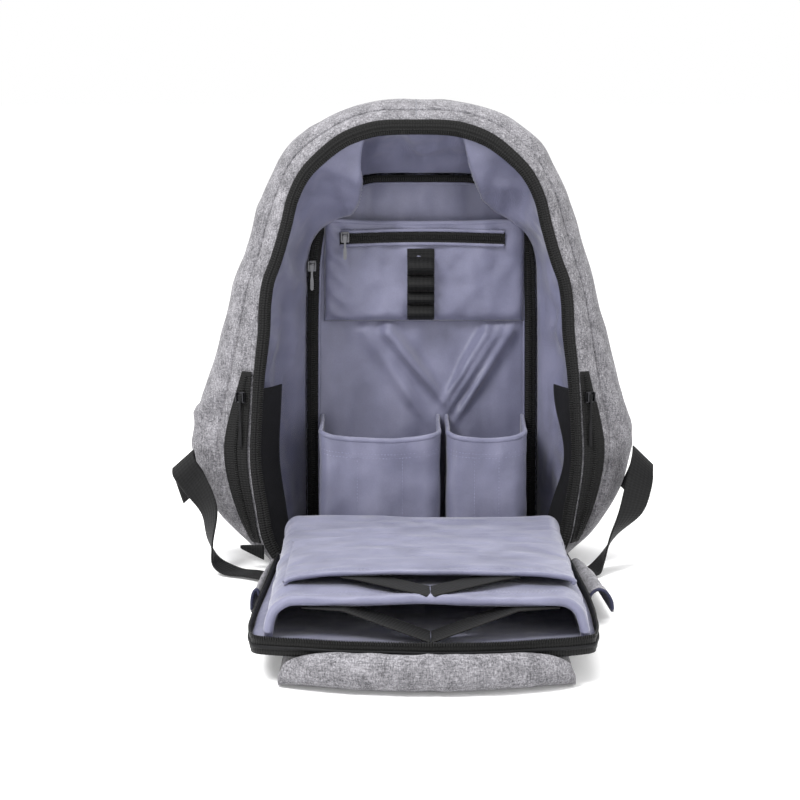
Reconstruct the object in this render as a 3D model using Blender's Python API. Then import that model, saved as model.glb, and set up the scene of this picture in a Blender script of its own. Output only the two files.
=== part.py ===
"""An anti theft backpack, standing open, with its back panel folded down on the floor in front of it.

Metres, +Z up. The origin is on the floor under the middle of the body. The body's mouth faces -Y, and
the back panel runs from the foot of the mouth towards -Y. Heights are from the floor, and a depth is
measured back from the plane of the mouth, which leans a little. Left and right are as seen from -Y.
"""

import math

import bmesh
import bpy
import numpy as np

# Clearances
GAP = 0.0003
FACET_ROOM = 0.0006

# Body shell
BODY_HEIGHT = 0.449
BODY_HALF_WIDTH = 0.2145
BODY_SIDE_SHIFT = 0.0035
RIM_HEIGHT = 0.433
RIM_HALF_WIDTH = 0.160
FRONT_HEIGHT = 0.425
FRONT_HALF_WIDTH = 0.150
SIDE_DEPTH_FOOT = 0.135
SIDE_DEPTH_TOP = 0.100
FRONT_CROWN = 0.027
FRONT_SPINE_TOP = 0.330
RIM_Y = -0.070
RIM_LEAN = 0.022
SHELL_WALL = 0.003
BASE_WALL = 0.0035
BASE_LIP = 0.020
FOOT = BASE_WALL + GAP

# Mouth: zip tape, gussets and lining
TAPE_WALL = 0.0012
TAPE_WIDTH_TOP = 0.0135
TAPE_WIDTH_SIDE = 0.0105
TAPE_LAP = 0.0005
TAPE_OUT = GAP + FACET_ROOM + TAPE_WALL
LINING_WALL = 0.001
LINING_BELLY = 0.010
LINING_FOLD = 0.004
LINING_FOLDS = 7
LINING_BELLY_START = 0.070
LINING_SPLIT = 0.36
GUSSET_HEIGHT = 0.170
LEFT_GUSSET_REACH = 0.020
RIGHT_GUSSET_REACH = 0.0125
GUSSET_DEPTH = 0.032
GUSSET_WALL = 0.0015
GUSSET_WAVE = 0.004
GUSSET_WAVES = 2.6

# Divider, across the inside of the body
INNER_SHIFT = 0.0085
DIVIDER_HEIGHT = 0.376
DIVIDER_HALF_WIDTH = 0.1155
DIVIDER_SHIFT = 0.006
DIVIDER_DEPTH_FOOT = 0.110
DIVIDER_DEPTH_TOP = 0.080
DIVIDER_WALL = 0.002
DIVIDER_TAPE_WIDTH = 0.0118
DIVIDER_TAPE_TOP = 0.0080
DIVIDER_TAPE_BEND = 0.300
DIVIDER_SPINE_TOP = 0.300
DIVIDER_SLIDER_HEIGHT = 0.285

# Organizer pocket, on the divider
ORGANIZER_FOOT = 0.230
ORGANIZER_TOP = 0.331
ORGANIZER_HALF_WIDTH = 0.099
ORGANIZER_RISE = 0.011
ORGANIZER_CORNER = 0.0055
ORGANIZER_WALL = 0.0018
ORGANIZER_ZIP_HEIGHT = 0.315
ORGANIZER_ZIP_SHIFT = -0.002
ORGANIZER_ZIP_WIDTH = 0.0135
ORGANIZER_ZIP_HALF_LENGTH = 0.081
ORGANIZER_SLIDER_INSET = 0.005
LOOP_BAND_TOP = 0.303
LOOP_BAND_WIDTH = 0.026
LOOP_BAND_WALL = 0.0012
LOOP_BAND_SHIFT = -0.0035
LOOP_BAND_HEAD = 0.0078
LOOP_ROUNDNESS = 0.6

# Two stitched pockets at the foot of the divider
POCKET_FOOT = 0.012
POCKET_HEIGHT = 0.123
POCKET_DIP = 0.007
POCKET_DEPTH = 0.025
POCKET_WALL = 0.003
POCKET_CORNER = 0.016
POCKET_SPACE = 0.0058
WIDE_POCKET_WIDTH = 0.1178
NARROW_POCKET_WIDTH = 0.0785
POCKETS_LEFT = -0.094

# Side pocket zips, on the outside of the body beside the mouth
SIDE_ZIP_FOOT = 0.0265
SIDE_ZIP_TOP = 0.192
SIDE_ZIP_WALL = 0.001
LEFT_SIDE_ZIP_ROOM = 0.0020
RIGHT_SIDE_ZIP_ROOM = 0.0006
SIDE_SLIDER_HEIGHT = 0.168

# Zip sliders and pullers
SLIDER_WIDTH = 0.0084
SLIDER_HEIGHT = 0.011
SLIDER_BLOCK = 0.003
SLIDER_EAR = 0.0034
SLIDER_EAR_WALL = 0.0012
PIN_FORWARD = 0.0046
PIN_RAISE = 0.002
PULLER_BARREL = 0.0012
PULLER_NECK = 0.0017
PULLER_WALL = 0.0012
SHORT_PULLER = 0.026
LONG_PULLER = 0.050
METAL_PULLER = 0.024

# Back panel, folded down, with its zip tape
PANEL_LENGTH = 0.430
PANEL_HALF_WIDTH = 0.144
PANEL_SHIFT = 0.006
PANEL_WALL = 0.011
PANEL_FOOT = FOOT + 0.0008
PANEL_START = 0.0017
PANEL_RAISE = 0.0285
PANEL_EDGE_DROP = 0.0027
PANEL_SPINE = 0.310
PANEL_TAPE_HEIGHT = 0.014

# Sleeves, on the panel, open towards -Y
LARGE_SLEEVE_START = 0.016
LARGE_SLEEVE_END = 0.398
LARGE_SLEEVE_HALF_WIDTH = 0.131
LARGE_SLEEVE_LEAN = 0.0055
LARGE_SLEEVE_RISE = 0.033
LARGE_SLEEVE_SWELL = 0.007
LARGE_SLEEVE_WALL = 0.007
LARGE_SLEEVE_CORNER = 0.009
SMALL_SLEEVE_START = 0.172
SMALL_SLEEVE_END = 0.356
SMALL_SLEEVE_HALF_WIDTH = 0.1195
SMALL_SLEEVE_SHIFT = 0.0027
SMALL_SLEEVE_RISE = 0.013
SMALL_SLEEVE_SWELL = -0.004
SMALL_SLEEVE_WALL = 0.003

# Straps that hold what is in the sleeves
HOLD_STRAP_WIDTH = 0.025
HOLD_STRAP_WALL = 0.0015
HOLD_STRAP_SHIFT = 0.006
HOLD_STRAP_TUCK = 0.010
HOLD_STRAP_SLACK = 0.0008
LARGE_HOLD_INSET = 0.018
LARGE_HOLD_SPREAD = 0.097
LARGE_HOLD_MEET = 0.018
SMALL_HOLD_SPREAD = 0.064
SMALL_HOLD_MEET = 0.012

# Side wings, beside the panel next to the body
WING_WALL = 0.002
WING_START = 0.030
WING_END = 0.203
WING_HEIGHT = 0.030
LEFT_WING_REACH = 0.010
RIGHT_WING_REACH = 0.024

# Strap yoke and shoulder straps, under the panel
YOKE_HALF_WIDTH = 0.120
YOKE_BACK = 0.084
YOKE_LIP = 0.018
YOKE_END_HEIGHT = 0.45
YOKE_SAG = 0.022
STRAP_LENGTH = 0.250
STRAP_WIDTH = 0.062
STRAP_WALL = 0.010
STRAP_SPREAD = 0.058
STRAP_SPLAY = 0.024
STRAP_TAPER = 0.25
STRAP_GAP = 0.006
FRONT_EDGE_SHARE = 0.90

# Webbing at the lower corners
WEBBING_WIDTH = 0.027
WEBBING_WALL = 0.0016
WEBBING_OUT = 0.223
WEBBING_TOP = 0.128
WEBBING_FORWARD = 0.100
TAB_LENGTH = 0.022
TAB_WIDTH = 0.014
TAB_POINT = 0.0028
TAB_HEIGHT = 0.024
TAB_ROOT = 0.922

# Mesh steps
RING_POINTS = 43
PANEL_POINTS = 37
FINE_STEPS = 12
YOKE_COLUMNS = 13

# Which way the faces of the lining look
LINING_FACING = {"left": (1, 0, 0), "top": (0, 0, -1), "right": (-1, 0, 0)}

GREY = (0.33, 0.33, 0.35)
BLACK = (0.012, 0.012, 0.014)
LAVENDER = (0.25, 0.26, 0.37)
STEEL = (0.62, 0.62, 0.64)

# Outline of the mouth: share of its height, share of its half width
RIM_SHAPE = (
    (0.000, 0.84), (0.040, 0.91), (0.140, 0.97), (0.230, 1.00), (0.350, 0.99), (0.440, 0.975),
    (0.530, 0.95), (0.600, 0.94), (0.645, 0.92), (0.690, 0.875), (0.770, 0.81), (0.830, 0.77),
    (0.890, 0.69), (0.930, 0.59), (0.970, 0.45), (0.993, 0.29), (1.000, 0.00),
)
# Outline of the body where it is widest: share of its height, share of its half width
SIDE_SHAPE = (
    (0.000, 0.65), (0.050, 0.79), (0.100, 0.885), (0.150, 0.94), (0.200, 0.98), (0.250, 1.00),
    (0.320, 0.976), (0.380, 0.927), (0.440, 0.893), (0.520, 0.853), (0.600, 0.809), (0.680, 0.755),
    (0.770, 0.698), (0.855, 0.620), (0.900, 0.566), (0.946, 0.448), (0.975, 0.334), (0.997, 0.167),
    (1.000, 0.00),
)
# Outline of the front panel's edge: share of its height, share of its half width
FRONT_SHAPE = (
    (0.000, 0.90), (0.040, 0.94), (0.120, 0.985), (0.350, 1.00), (0.530, 0.93), (0.700, 0.81),
    (0.850, 0.64), (0.930, 0.47), (0.980, 0.26), (1.000, 0.00),
)
# Outline of the divider: share of its height, share of its half width
DIVIDER_SHAPE = (
    (0.000, 1.00), (0.250, 1.00), (0.500, 0.995), (0.680, 0.985), (0.800, 0.96), (0.870, 0.90),
    (0.925, 0.79), (0.970, 0.66), (0.995, 0.48), (1.000, 0.25), (1.000, 0.00),
)
# Outline of the folded panel: share of its length from the hinge, share of its half width
PANEL_SHAPE = (
    (0.000, 0.95), (0.150, 0.96), (0.450, 0.98), (0.750, 1.00), (0.880, 0.99), (0.925, 0.96),
    (0.945, 0.86), (0.962, 0.68), (0.982, 0.42), (0.995, 0.20), (1.000, 0.00),
)
# Sections of the body from mouth to front: share of the side depth, share of the way to the widest
# outline, share of the way on to the front outline
BODY_SECTIONS = (
    (0.00, 0.00, 0.00),
    (0.10, 0.55, 0.00),
    (0.45, 1.00, 0.00),
    (0.78, 1.00, 0.42),
    (1.00, 1.00, 1.00),
)
# Elastic loops, from the top: length along the band, how far it stands off
PEN_LOOPS = ((0.018, 0.0125), (0.017, 0.0120), (0.0125, 0.0095), (0.015, 0.0110))
# Side webbing: outward share, forward share, height share, tilt of its width below level, and the
# swing of its width from straight out to straight back, in degrees
WEBBING_LEFT = (
    (0.980, -0.50, 0.500, 42.0, 0.0),
    (1.002, -0.24, 0.720, 42.0, 0.0),
    (1.006, -0.07, 0.830, 42.0, 0.0),
    (1.004, 0.00, 0.800, 42.0, 0.0),
    (0.955, 0.00, 0.665, 48.0, 10.0),
    (0.893, 0.00, 0.460, 22.0, 50.0),
    (0.884, 0.05, 0.205, 6.0, 80.0),
    (0.862, 0.11, 0.090, 0.0, 100.0),
    (0.807, 0.18, 0.036, 0.0, 122.0),
    (0.700, 0.31, 0.030, 0.0, 120.0),
    (0.590, 0.54, 0.037, 0.0, 135.0),
    (0.500, 0.78, 0.030, 0.0, 142.0),
)
WEBBING_RIGHT = (
    (0.950, -0.50, 0.500, 44.0, 0.0),
    (0.985, -0.24, 0.740, 44.0, 0.0),
    (0.984, -0.07, 0.870, 44.0, 0.0),
    (0.980, 0.00, 0.840, 43.0, 0.0),
    (0.962, 0.00, 0.640, 24.0, 14.0),
    (0.930, 0.00, 0.440, 10.0, 30.0),
    (0.855, 0.04, 0.255, 4.0, 72.0),
    (0.805, 0.10, 0.095, 2.0, 96.0),
    (0.768, 0.20, 0.028, 0.0, 112.0),
    (0.698, 0.34, 0.021, 0.0, 122.0),
    (0.610, 0.56, 0.026, 0.0, 138.0),
    (0.560, 0.76, 0.030, 0.0, 142.0),
)
# Where the flat top of a box pocket has its inner points, as a share of the half width
BOX_MIDDLE = 0.35
# Parts of the side depth where the shell has its rings
SHELL_SHARES = (0.0, 0.10, 0.24, 0.45, 0.66, 0.85, 1.0)
# Parts of a front surface from its edge to its middle
FRONT_SHARES = (1.0, 0.85, 0.62, 0.34, 0.0)
# Lip of the base in front of the mouth: share of the mouth's foot, share of the lip
LIP_SHAPE = ((0.86, 1.0), (0.95, 0.0))
# Side pocket zips: shares of the side depth from tape edge to tape edge, and how they narrow to the top
SIDE_ZIP_SHARES = (0.006, 0.042, 0.080)
SIDE_ZIP_NARROW = 0.45
# Steps round one elastic loop, as shares of its length
LOOP_STEPS = (0.12, 0.30, 0.50, 0.70, 0.88, 1.00)
# Arched section of the small sleeve, from its edge to its middle: share of the half width, share of the rise
SMALL_SLEEVE_SECTION = ((1.00, 0.00), (1.00, 0.26), (0.93, 0.56), (0.76, 0.82), (0.50, 0.96), (0.22, 1.00))
# Arched section of a side wing from the panel outwards: share of its reach, share of its height
WING_SHAPE = ((0.00, 0.50), (0.12, 0.84), (0.40, 1.00), (0.72, 0.90), (0.94, 0.62), (1.00, 0.32))
# Size of a side wing along its run: share of the run, share of the full size
WING_FLARE = ((0.00, 0.60), (0.40, 0.82), (1.00, 1.00))
# Section of a shoulder strap: share of its width, share of its height
STRAP_SECTION = ((-0.5, 0.75), (-0.3, 1.0), (0.3, 1.0), (0.5, 0.75))
# Section of the yoke: share of its lip in front of the panel's edge, or of its back behind it, and share of
# the height under that edge
YOKE_SECTION = (
    (-1.00, 0.20), (-0.92, 0.60), (-0.60, 0.86), (-0.20, 0.925), (0.00, 0.925), (0.19, 0.925),
    (0.26, 1.06), (0.44, 1.17), (0.70, 1.16), (0.93, 0.94), (1.00, 0.62), (0.82, 0.32),
    (0.25, 0.15), (-0.20, 0.05), (-0.60, 0.00), (-0.92, 0.00),
)


def clear_scene():
    for thing in list(bpy.data.objects):
        bpy.data.objects.remove(thing, do_unlink=True)


def material(colour, roughness, metallic=0.0):
    made = bpy.data.materials.new("finish")
    made.use_nodes = True
    shader = made.node_tree.nodes["Principled BSDF"]
    shader.inputs["Base Color"].default_value = (*colour, 1.0)
    shader.inputs["Roughness"].default_value = roughness
    shader.inputs["Metallic"].default_value = metallic
    return made


def add_object(name, bm, colour, roughness=0.85, metallic=0.0):
    """Makes the named object from a closed mesh, with its faces turned out."""
    bmesh.ops.recalc_face_normals(bm, faces=bm.faces)
    mesh = bpy.data.meshes.new(name)
    bm.to_mesh(mesh)
    bm.free()
    mesh.shade_smooth()
    mesh.set_sharp_from_angle(angle=math.radians(40))
    mesh.materials.append(material(colour, roughness, metallic))
    made = bpy.data.objects.new(name, mesh)
    bpy.context.collection.objects.link(made)
    return made


def smooth_interp(knots, values, at):
    """The value at one place on the smooth curve through values at the knots."""
    knots = np.asarray(knots, float)
    values = np.asarray(values, float)
    slopes = np.gradient(values, knots, axis=0)
    k = int(np.clip(np.searchsorted(knots, at) - 1, 0, len(knots) - 2))
    width = knots[k + 1] - knots[k]
    t = (at - knots[k]) / width
    rise = values[k + 1] - values[k]
    start = slopes[k] * width
    end = slopes[k + 1] * width
    return values[k] + start * t + (3 * rise - 2 * start - end) * t**2 + (start + end - 2 * rise) * t**3


def run_length(points):
    """Distance along a line of points, measured on their first three columns."""
    steps = np.linalg.norm(np.diff(points[:, :3], axis=0), axis=1)
    return np.concatenate([[0.0], np.cumsum(steps)])


def curve_through(points, count):
    """Points at equal steps along the smooth curve through the given ones, with any columns after the third."""
    points = np.asarray(points, float)
    knots = run_length(points)
    fine = np.linspace(0.0, knots[-1], FINE_STEPS * len(points))
    dense = np.array([smooth_interp(knots, points, at) for at in fine])
    along = run_length(dense)
    at = np.linspace(0.0, along[-1], count)
    return np.column_stack([np.interp(at, along, dense[:, k]) for k in range(points.shape[1])])


def mirrored_outline(shape, half, top, foot, count):
    """An outline from its left foot over its top to its right foot, as (across, up) points."""
    right = [(half * wide, foot + (top - foot) * high) for high, wide in shape]
    left = [(-across, up) for across, up in right[:-1]]
    return curve_through(left + right[::-1], count)


def inset(outline, distance):
    """The outline moved in towards its own middle by a distance, which may vary along it."""
    tangent = np.gradient(outline, axis=0)
    tangent /= np.linalg.norm(tangent, axis=1)[:, None]
    inward = np.column_stack([tangent[:, 1], -tangent[:, 0]])
    moved = outline + inward * np.broadcast_to(distance, len(outline))[:, None]
    moved[0, 1] = outline[0, 1]
    moved[-1, 1] = outline[-1, 1]
    return moved


def mouth_y(height):
    return RIM_Y + RIM_LEAN * height / BODY_HEIGHT


def divider_y(height):
    share = height / DIVIDER_HEIGHT
    return mouth_y(height) + DIVIDER_DEPTH_FOOT + (DIVIDER_DEPTH_TOP - DIVIDER_DEPTH_FOOT) * share


def divider_face(height):
    """Where the divider's zip tape has its front, and so what stands on the divider begins."""
    return divider_y(height) - GAP - TAPE_WALL


def panel_y(along):
    return RIM_Y - along


def panel_under(along):
    """Height of the folded panel's underside, a distance along it from the hinge."""
    return PANEL_FOOT + (PANEL_RAISE - PANEL_FOOT) * along / PANEL_LENGTH


def panel_top(along):
    return panel_under(along) + PANEL_WALL


def grid_mesh(grid):
    """An open mesh of quads over rows of points."""
    bm = bmesh.new()
    rows = [[bm.verts.new(point) for point in row] for row in grid]
    for lower, upper in zip(rows, rows[1:]):
        for i in range(len(lower) - 1):
            bm.faces.new((lower[i], lower[i + 1], upper[i + 1], upper[i]))
    return bm


def face_towards(bm, direction):
    """Turns the whole open mesh so that its faces look in the direction on average."""
    bm.normal_update()
    looks = sum(face.normal.dot(direction) * face.calc_area() for face in bm.faces)
    if looks < 0:
        bmesh.ops.reverse_faces(bm, faces=bm.faces)
        bm.normal_update()


def thicken(bm, wall):
    """Closes an open mesh into a solid by a second skin behind it. The wall is a length or a function."""
    front = list(bm.verts)
    faces = list(bm.faces)
    open_edges = [edge for edge in bm.edges if edge.is_boundary]
    back = {}
    for vert in front:
        depth = wall(vert.co) if callable(wall) else wall
        back[vert] = bm.verts.new(vert.co - vert.normal * depth)
    for face in faces:
        bm.faces.new([back[vert] for vert in reversed(face.verts)])
    for edge in open_edges:
        loop = edge.link_loops[0]
        start = loop.vert
        end = loop.link_loop_next.vert
        bm.faces.new((end, start, back[start], back[end]))


def sheet(name, grid, wall, colour, facing):
    """A cloth solid whose given face looks in the direction, with its wall behind that face."""
    bm = grid_mesh(grid)
    face_towards(bm, facing)
    thicken(bm, wall)
    return add_object(name, bm, colour)


def nested_mesh(outline, spine, shares, lift):
    """An open mesh from an outline in to its spine, raised at each share by lift(share)."""
    grid = [spine + (outline - spine) * share + lift(share) for share in shares]
    bm = grid_mesh(grid)
    bmesh.ops.remove_doubles(bm, verts=bm.verts, dist=1e-5)
    return bm


def prism(name, outline, low, high, colour):
    """A solid between two heights over an outline of (x, y) points."""
    bm = bmesh.new()
    face = bm.faces.new([bm.verts.new((x, y, low)) for x, y in outline])
    raised = bmesh.ops.extrude_face_region(bm, geom=[face])["geom"]
    for item in raised:
        if isinstance(item, bmesh.types.BMVert):
            item.co.z = high
    return add_object(name, bm, colour)


def outward(grid, distance, facing):
    """The grid moved off its own surface, on the side that looks in the direction."""
    across = np.gradient(grid, axis=1)
    along = np.gradient(grid, axis=0)
    normal = np.cross(across, along)
    normal /= np.linalg.norm(normal, axis=2)[:, :, None]
    if (normal @ np.asarray(facing, float)).sum() < 0:
        normal = -normal
    return grid + normal * distance


def body_section(share):
    """The shell's outer outline at a share of the side depth, left foot to right foot."""
    rim = mirrored_outline(RIM_SHAPE, RIM_HALF_WIDTH, RIM_HEIGHT, FOOT, RING_POINTS)
    side = mirrored_outline(SIDE_SHAPE, BODY_HALF_WIDTH, BODY_HEIGHT, FOOT, RING_POINTS)
    side[:, 0] -= BODY_SIDE_SHIFT * (side[:, 0] / BODY_HALF_WIDTH) ** 4
    front = mirrored_outline(FRONT_SHAPE, FRONT_HALF_WIDTH, FRONT_HEIGHT, FOOT, RING_POINTS)
    rings = []
    for _, to_side, to_front in BODY_SECTIONS:
        middle = rim + (side - rim) * to_side
        rings.append(middle + (front - middle) * to_front)
    flat = smooth_interp([row[0] for row in BODY_SECTIONS], rings, share)
    x = flat[:, 0]
    z = flat[:, 1]
    depth = SIDE_DEPTH_FOOT + (SIDE_DEPTH_TOP - SIDE_DEPTH_FOOT) * z / BODY_HEIGHT
    return np.column_stack([x, mouth_y(z) + share * depth, z])


def front_crown(share):
    return FRONT_CROWN * (1 - share**2)


def front_surface(shares):
    """The front panel's outside, which bulges away from the mouth."""
    edge = body_section(1.0)
    edge[:, 1] += SHELL_WALL + GAP
    spine = edge.copy()
    spine[:, 0] = 0.0
    spine[:, 2] = np.minimum(edge[:, 2], FRONT_SPINE_TOP)
    left = edge[: RING_POINTS // 2 + 1]
    spine[:, 1] = np.interp(spine[:, 2], left[:, 2], left[:, 1])
    return nested_mesh(edge, spine, shares, lambda share: np.array([0.0, front_crown(share), 0.0]))


def base_side(foot):
    """One side of the base's outline from its lip to its middle at the front, over the shell's foot points."""
    mouth_x, _ = foot[0]
    front_x, front_y = foot[-1]
    lip = [(mouth_x * wide, RIM_Y - BASE_LIP * ahead) for wide, ahead in LIP_SHAPE]
    crown = [(front_x * share, front_y + SHELL_WALL + GAP + front_crown(share)) for share in FRONT_SHARES]
    return lip + [tuple(point) for point in foot] + crown


def make_shell():
    """Front, two sides that meet in a seam over the top, and the base under them."""
    bm = front_surface(FRONT_SHARES)
    face_towards(bm, (0, 1, 0))
    thicken(bm, SHELL_WALL)
    add_object("front_panel", bm, GREY)
    middle = RING_POINTS // 2
    rows = np.array([body_section(share) for share in SHELL_SHARES])
    right = rows[:, middle:].copy()
    right[:, 0, 0] = GAP
    left = rows[:, : middle + 1].copy()
    left[:, -1, 0] = -GAP
    sheet("side_panel_right", right, SHELL_WALL, GREY, (1, 0, 1))
    sheet("side_panel_left", left, SHELL_WALL, GREY, (-1, 0, 1))
    outline = base_side(rows[:, -1, :2]) + base_side(rows[:, 0, :2])[:-1][::-1]
    prism("base_panel", outline, 0.0, BASE_WALL, GREY)


def tape_width():
    """Width of the mouth's zip tape along the outline: widest over the top, narrow and wavy at the sides."""
    along = np.abs(np.linspace(-1.0, 1.0, RING_POINTS))
    width = TAPE_WIDTH_TOP + (TAPE_WIDTH_SIDE - TAPE_WIDTH_TOP) * np.clip(along / 0.5, 0.0, 1.0)
    return width * (1.0 + 0.08 * np.sin(along * 15.0))


def make_mouth():
    """Zip tape round the mouth, the lining behind it, and the black gussets low at both sides."""
    rim = mirrored_outline(RIM_SHAPE, RIM_HALF_WIDTH, RIM_HEIGHT, FOOT, RING_POINTS)
    width = tape_width()
    rows = []
    for share in (0.0, 0.5, 1.0):
        flat = inset(rim, TAPE_LAP + width * share)
        rows.append(np.column_stack([flat[:, 0], mouth_y(flat[:, 1]) - GAP - TAPE_WALL, flat[:, 1]]))
    sheet("main_zip_tape", rows, TAPE_WALL, BLACK, (0, -1, 0))

    start = inset(rim, SHELL_WALL + GAP + FACET_ROOM + LINING_WALL)
    end = divider_outline(-(TAPE_LAP + GAP))
    start_y = mouth_y(start[:, 1]) + GAP
    end_y = divider_y(end[:, 1])
    turn = np.linspace(0.0, math.pi * LINING_FOLDS, RING_POINTS)
    rows = []
    for share in (0.0, 0.2, 0.45, 0.7, 1.0):
        flat = start + (end - start) * share
        push = math.sin(math.pi * share) * (LINING_BELLY - LINING_FOLD * np.sin(turn))
        push *= np.clip(flat[:, 1] / LINING_BELLY_START, 0.0, 1.0)
        flat = inset(flat, -push)
        flat[[0, -1], 1] += LINING_WALL
        rows.append(np.column_stack([flat[:, 0], start_y + (end_y - start_y) * share, flat[:, 1]]))
    rows = np.array(rows)
    split = round(LINING_SPLIT * (RING_POINTS - 1))
    last = RING_POINTS - 1
    for name, low, high in (("left", 0, split), ("top", split, last - split), ("right", last - split, last)):
        part = rows[:, low : high + 1].copy()
        if low > 0:
            part[:, 0] += seam_step(part[:, 1] - part[:, 0])
        if high < last:
            part[:, -1] += seam_step(part[:, -2] - part[:, -1])
        sheet("lining_" + name, part, LINING_WALL, LAVENDER, LINING_FACING[name])

    make_gussets(start)


def seam_step(steps):
    """Half a seam's clearance along each step."""
    return steps / np.linalg.norm(steps, axis=1)[:, None] * GAP / 2


def make_gussets(start):
    """Black cloth low at both sides of the mouth, from the lining's edge inwards."""
    right = start[RING_POINTS // 2 :]
    order = np.argsort(right[:, 1])
    low = FOOT + GUSSET_WALL
    heights = np.linspace(low, low + GUSSET_HEIGHT, 8)
    edge = np.interp(heights, right[order, 1], right[order, 0])
    wave = GUSSET_WAVE * np.sin(np.linspace(0.0, GUSSET_WAVES * math.pi, 8))
    sets = ((-1, "gusset_left", LEFT_GUSSET_REACH, 0.0), (1, "gusset_right", RIGHT_GUSSET_REACH, 1.0))
    for side, name, reach, wavy in sets:
        columns = []
        for share in (0.0, 0.5, 1.0):
            x = side * (edge - FACET_ROOM - GUSSET_WALL - (reach + wave * wavy) * share)
            y = mouth_y(heights) + GAP + GUSSET_DEPTH * share**1.5
            columns.append(np.column_stack([x, y, heights]))
        sheet(name, columns, GUSSET_WALL, BLACK, (0, -1, 0))


def divider_outline(distance):
    outline = mirrored_outline(DIVIDER_SHAPE, DIVIDER_HALF_WIDTH, DIVIDER_HEIGHT, FOOT, RING_POINTS)
    moved = inset(outline, distance)
    moved[:, 0] += DIVIDER_SHIFT
    return moved


def make_divider():
    """The wall across the inside, with the zip tape that runs up both its sides and over its top."""
    flat = divider_outline(TAPE_LAP)
    edge = np.column_stack([flat[:, 0], divider_y(flat[:, 1]), flat[:, 1]])
    spine = edge.copy()
    spine[:, 0] = DIVIDER_SHIFT
    spine[:, 2] = np.minimum(edge[:, 2], DIVIDER_SPINE_TOP)
    spine[:, 1] = divider_y(spine[:, 2])
    bm = nested_mesh(edge, spine, (1.0, 0.66, 0.33, 0.0), lambda share: np.zeros(3))
    face_towards(bm, (0, -1, 0))
    thicken(bm, DIVIDER_WALL)
    add_object("divider_panel", bm, LAVENDER)
    to_top = np.clip((flat[:, 1] - DIVIDER_TAPE_BEND) / (DIVIDER_HEIGHT - DIVIDER_TAPE_BEND), 0.0, 1.0)
    width = DIVIDER_TAPE_WIDTH + (DIVIDER_TAPE_TOP - DIVIDER_TAPE_WIDTH) * to_top
    rows = []
    for share in (0.0, 1.0):
        flat = divider_outline(TAPE_LAP * 2 + width * share)
        rows.append(np.column_stack([flat[:, 0], divider_y(flat[:, 1]) - GAP - TAPE_WALL, flat[:, 1]]))
    sheet("divider_zip_tape", rows, TAPE_WALL, BLACK, (0, -1, 0))
    tape_middle = DIVIDER_HALF_WIDTH - 2 * TAPE_LAP - DIVIDER_TAPE_WIDTH / 2
    at_y = divider_y(DIVIDER_SLIDER_HEIGHT) - GAP - TAPE_WALL
    make_slider("divider", (DIVIDER_SHIFT - tape_middle, at_y, DIVIDER_SLIDER_HEIGHT), 0.0, SHORT_PULLER, STEEL)


def box_section(half, rise, corner):
    """Half of a box pocket's section, from its edge to near its middle, as (across, up)."""
    bend = corner * (1 - math.sqrt(0.5))
    return [
        (half, 0.0), (half, rise - corner), (half - bend, rise - bend), (half - corner, rise),
        (half * BOX_MIDDLE, rise),
    ]


def pocket(name, place, right, wall, rows, colour, facing):
    """An open pocket. Its cross section stands on a surface, from edge to edge.

    right is half of the section, from its edge to near its middle. place(across, up, along) puts a point in
    the world: across and up in metres, along from 0 at the closed end to 1 at the mouth. The closed end is
    a wall of its own.
    """
    section = [(-across, up) for across, up in right] + right[::-1]
    bm = bmesh.new()
    grid = [[bm.verts.new(place(across, up, along)) for across, up in section] for along in rows]
    for lower, upper in zip(grid, grid[1:]):
        for i in range(len(section) - 1):
            bm.faces.new((lower[i], lower[i + 1], upper[i + 1], upper[i]))
    end = grid[0]
    last = len(section) - 1
    for i in range(len(right) - 1):
        bm.faces.new((end[i + 1], end[i], end[last - i], end[last - i - 1]))
    face_towards(bm, facing)
    thicken(bm, wall)
    return add_object(name, bm, colour)


def make_organizer():
    """The flat pocket high on the divider: an open slip pocket with a zip and a band of elastic loops."""

    def on_divider(across, up, along):
        height = ORGANIZER_FOOT + (ORGANIZER_TOP - ORGANIZER_FOOT) * along
        return (INNER_SHIFT + across, divider_face(height) - GAP - up, height)

    right = box_section(ORGANIZER_HALF_WIDTH, ORGANIZER_RISE, ORGANIZER_CORNER)
    pocket("organizer_pocket", on_divider, right, ORGANIZER_WALL, (0.0, 0.5, 1.0), LAVENDER, (0, -1, 0))
    off = ORGANIZER_RISE + 2 * GAP
    middle = INNER_SHIFT + ORGANIZER_ZIP_SHIFT
    rows = []
    for across in (-1.0, 0.0, 1.0):
        height = ORGANIZER_ZIP_HEIGHT + across * ORGANIZER_ZIP_WIDTH / 2
        y = divider_face(height) - off - TAPE_WALL
        rows.append([(middle + share * ORGANIZER_ZIP_HALF_LENGTH, y, height) for share in (-1.0, 0.0, 1.0)])
    sheet("organizer_zip_tape", rows, TAPE_WALL, BLACK, (0, -1, 0))
    at_x = middle - ORGANIZER_ZIP_HALF_LENGTH + ORGANIZER_SLIDER_INSET
    at_y = divider_face(ORGANIZER_ZIP_HEIGHT) - off - TAPE_WALL
    make_slider("organizer", (at_x, at_y, ORGANIZER_ZIP_HEIGHT), 0.0, METAL_PULLER, STEEL)

    height = LOOP_BAND_TOP - LOOP_BAND_HEAD
    route = [(LOOP_BAND_TOP, 0.0), (height, 0.0)]
    for length, stand in PEN_LOOPS:
        for share in LOOP_STEPS:
            route.append((height - length * share, stand * abs(math.sin(math.pi * share)) ** LOOP_ROUNDNESS))
        height -= length
    middle = INNER_SHIFT + LOOP_BAND_SHIFT
    rows = []
    for side in (-0.5, 0.5):
        x = middle + side * LOOP_BAND_WIDTH
        rows.append([(x, divider_face(up) - off - LOOP_BAND_WALL - stand, up) for up, stand in route])
    sheet("pen_loops", rows, LOOP_BAND_WALL, BLACK, (0, -1, 0))


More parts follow.
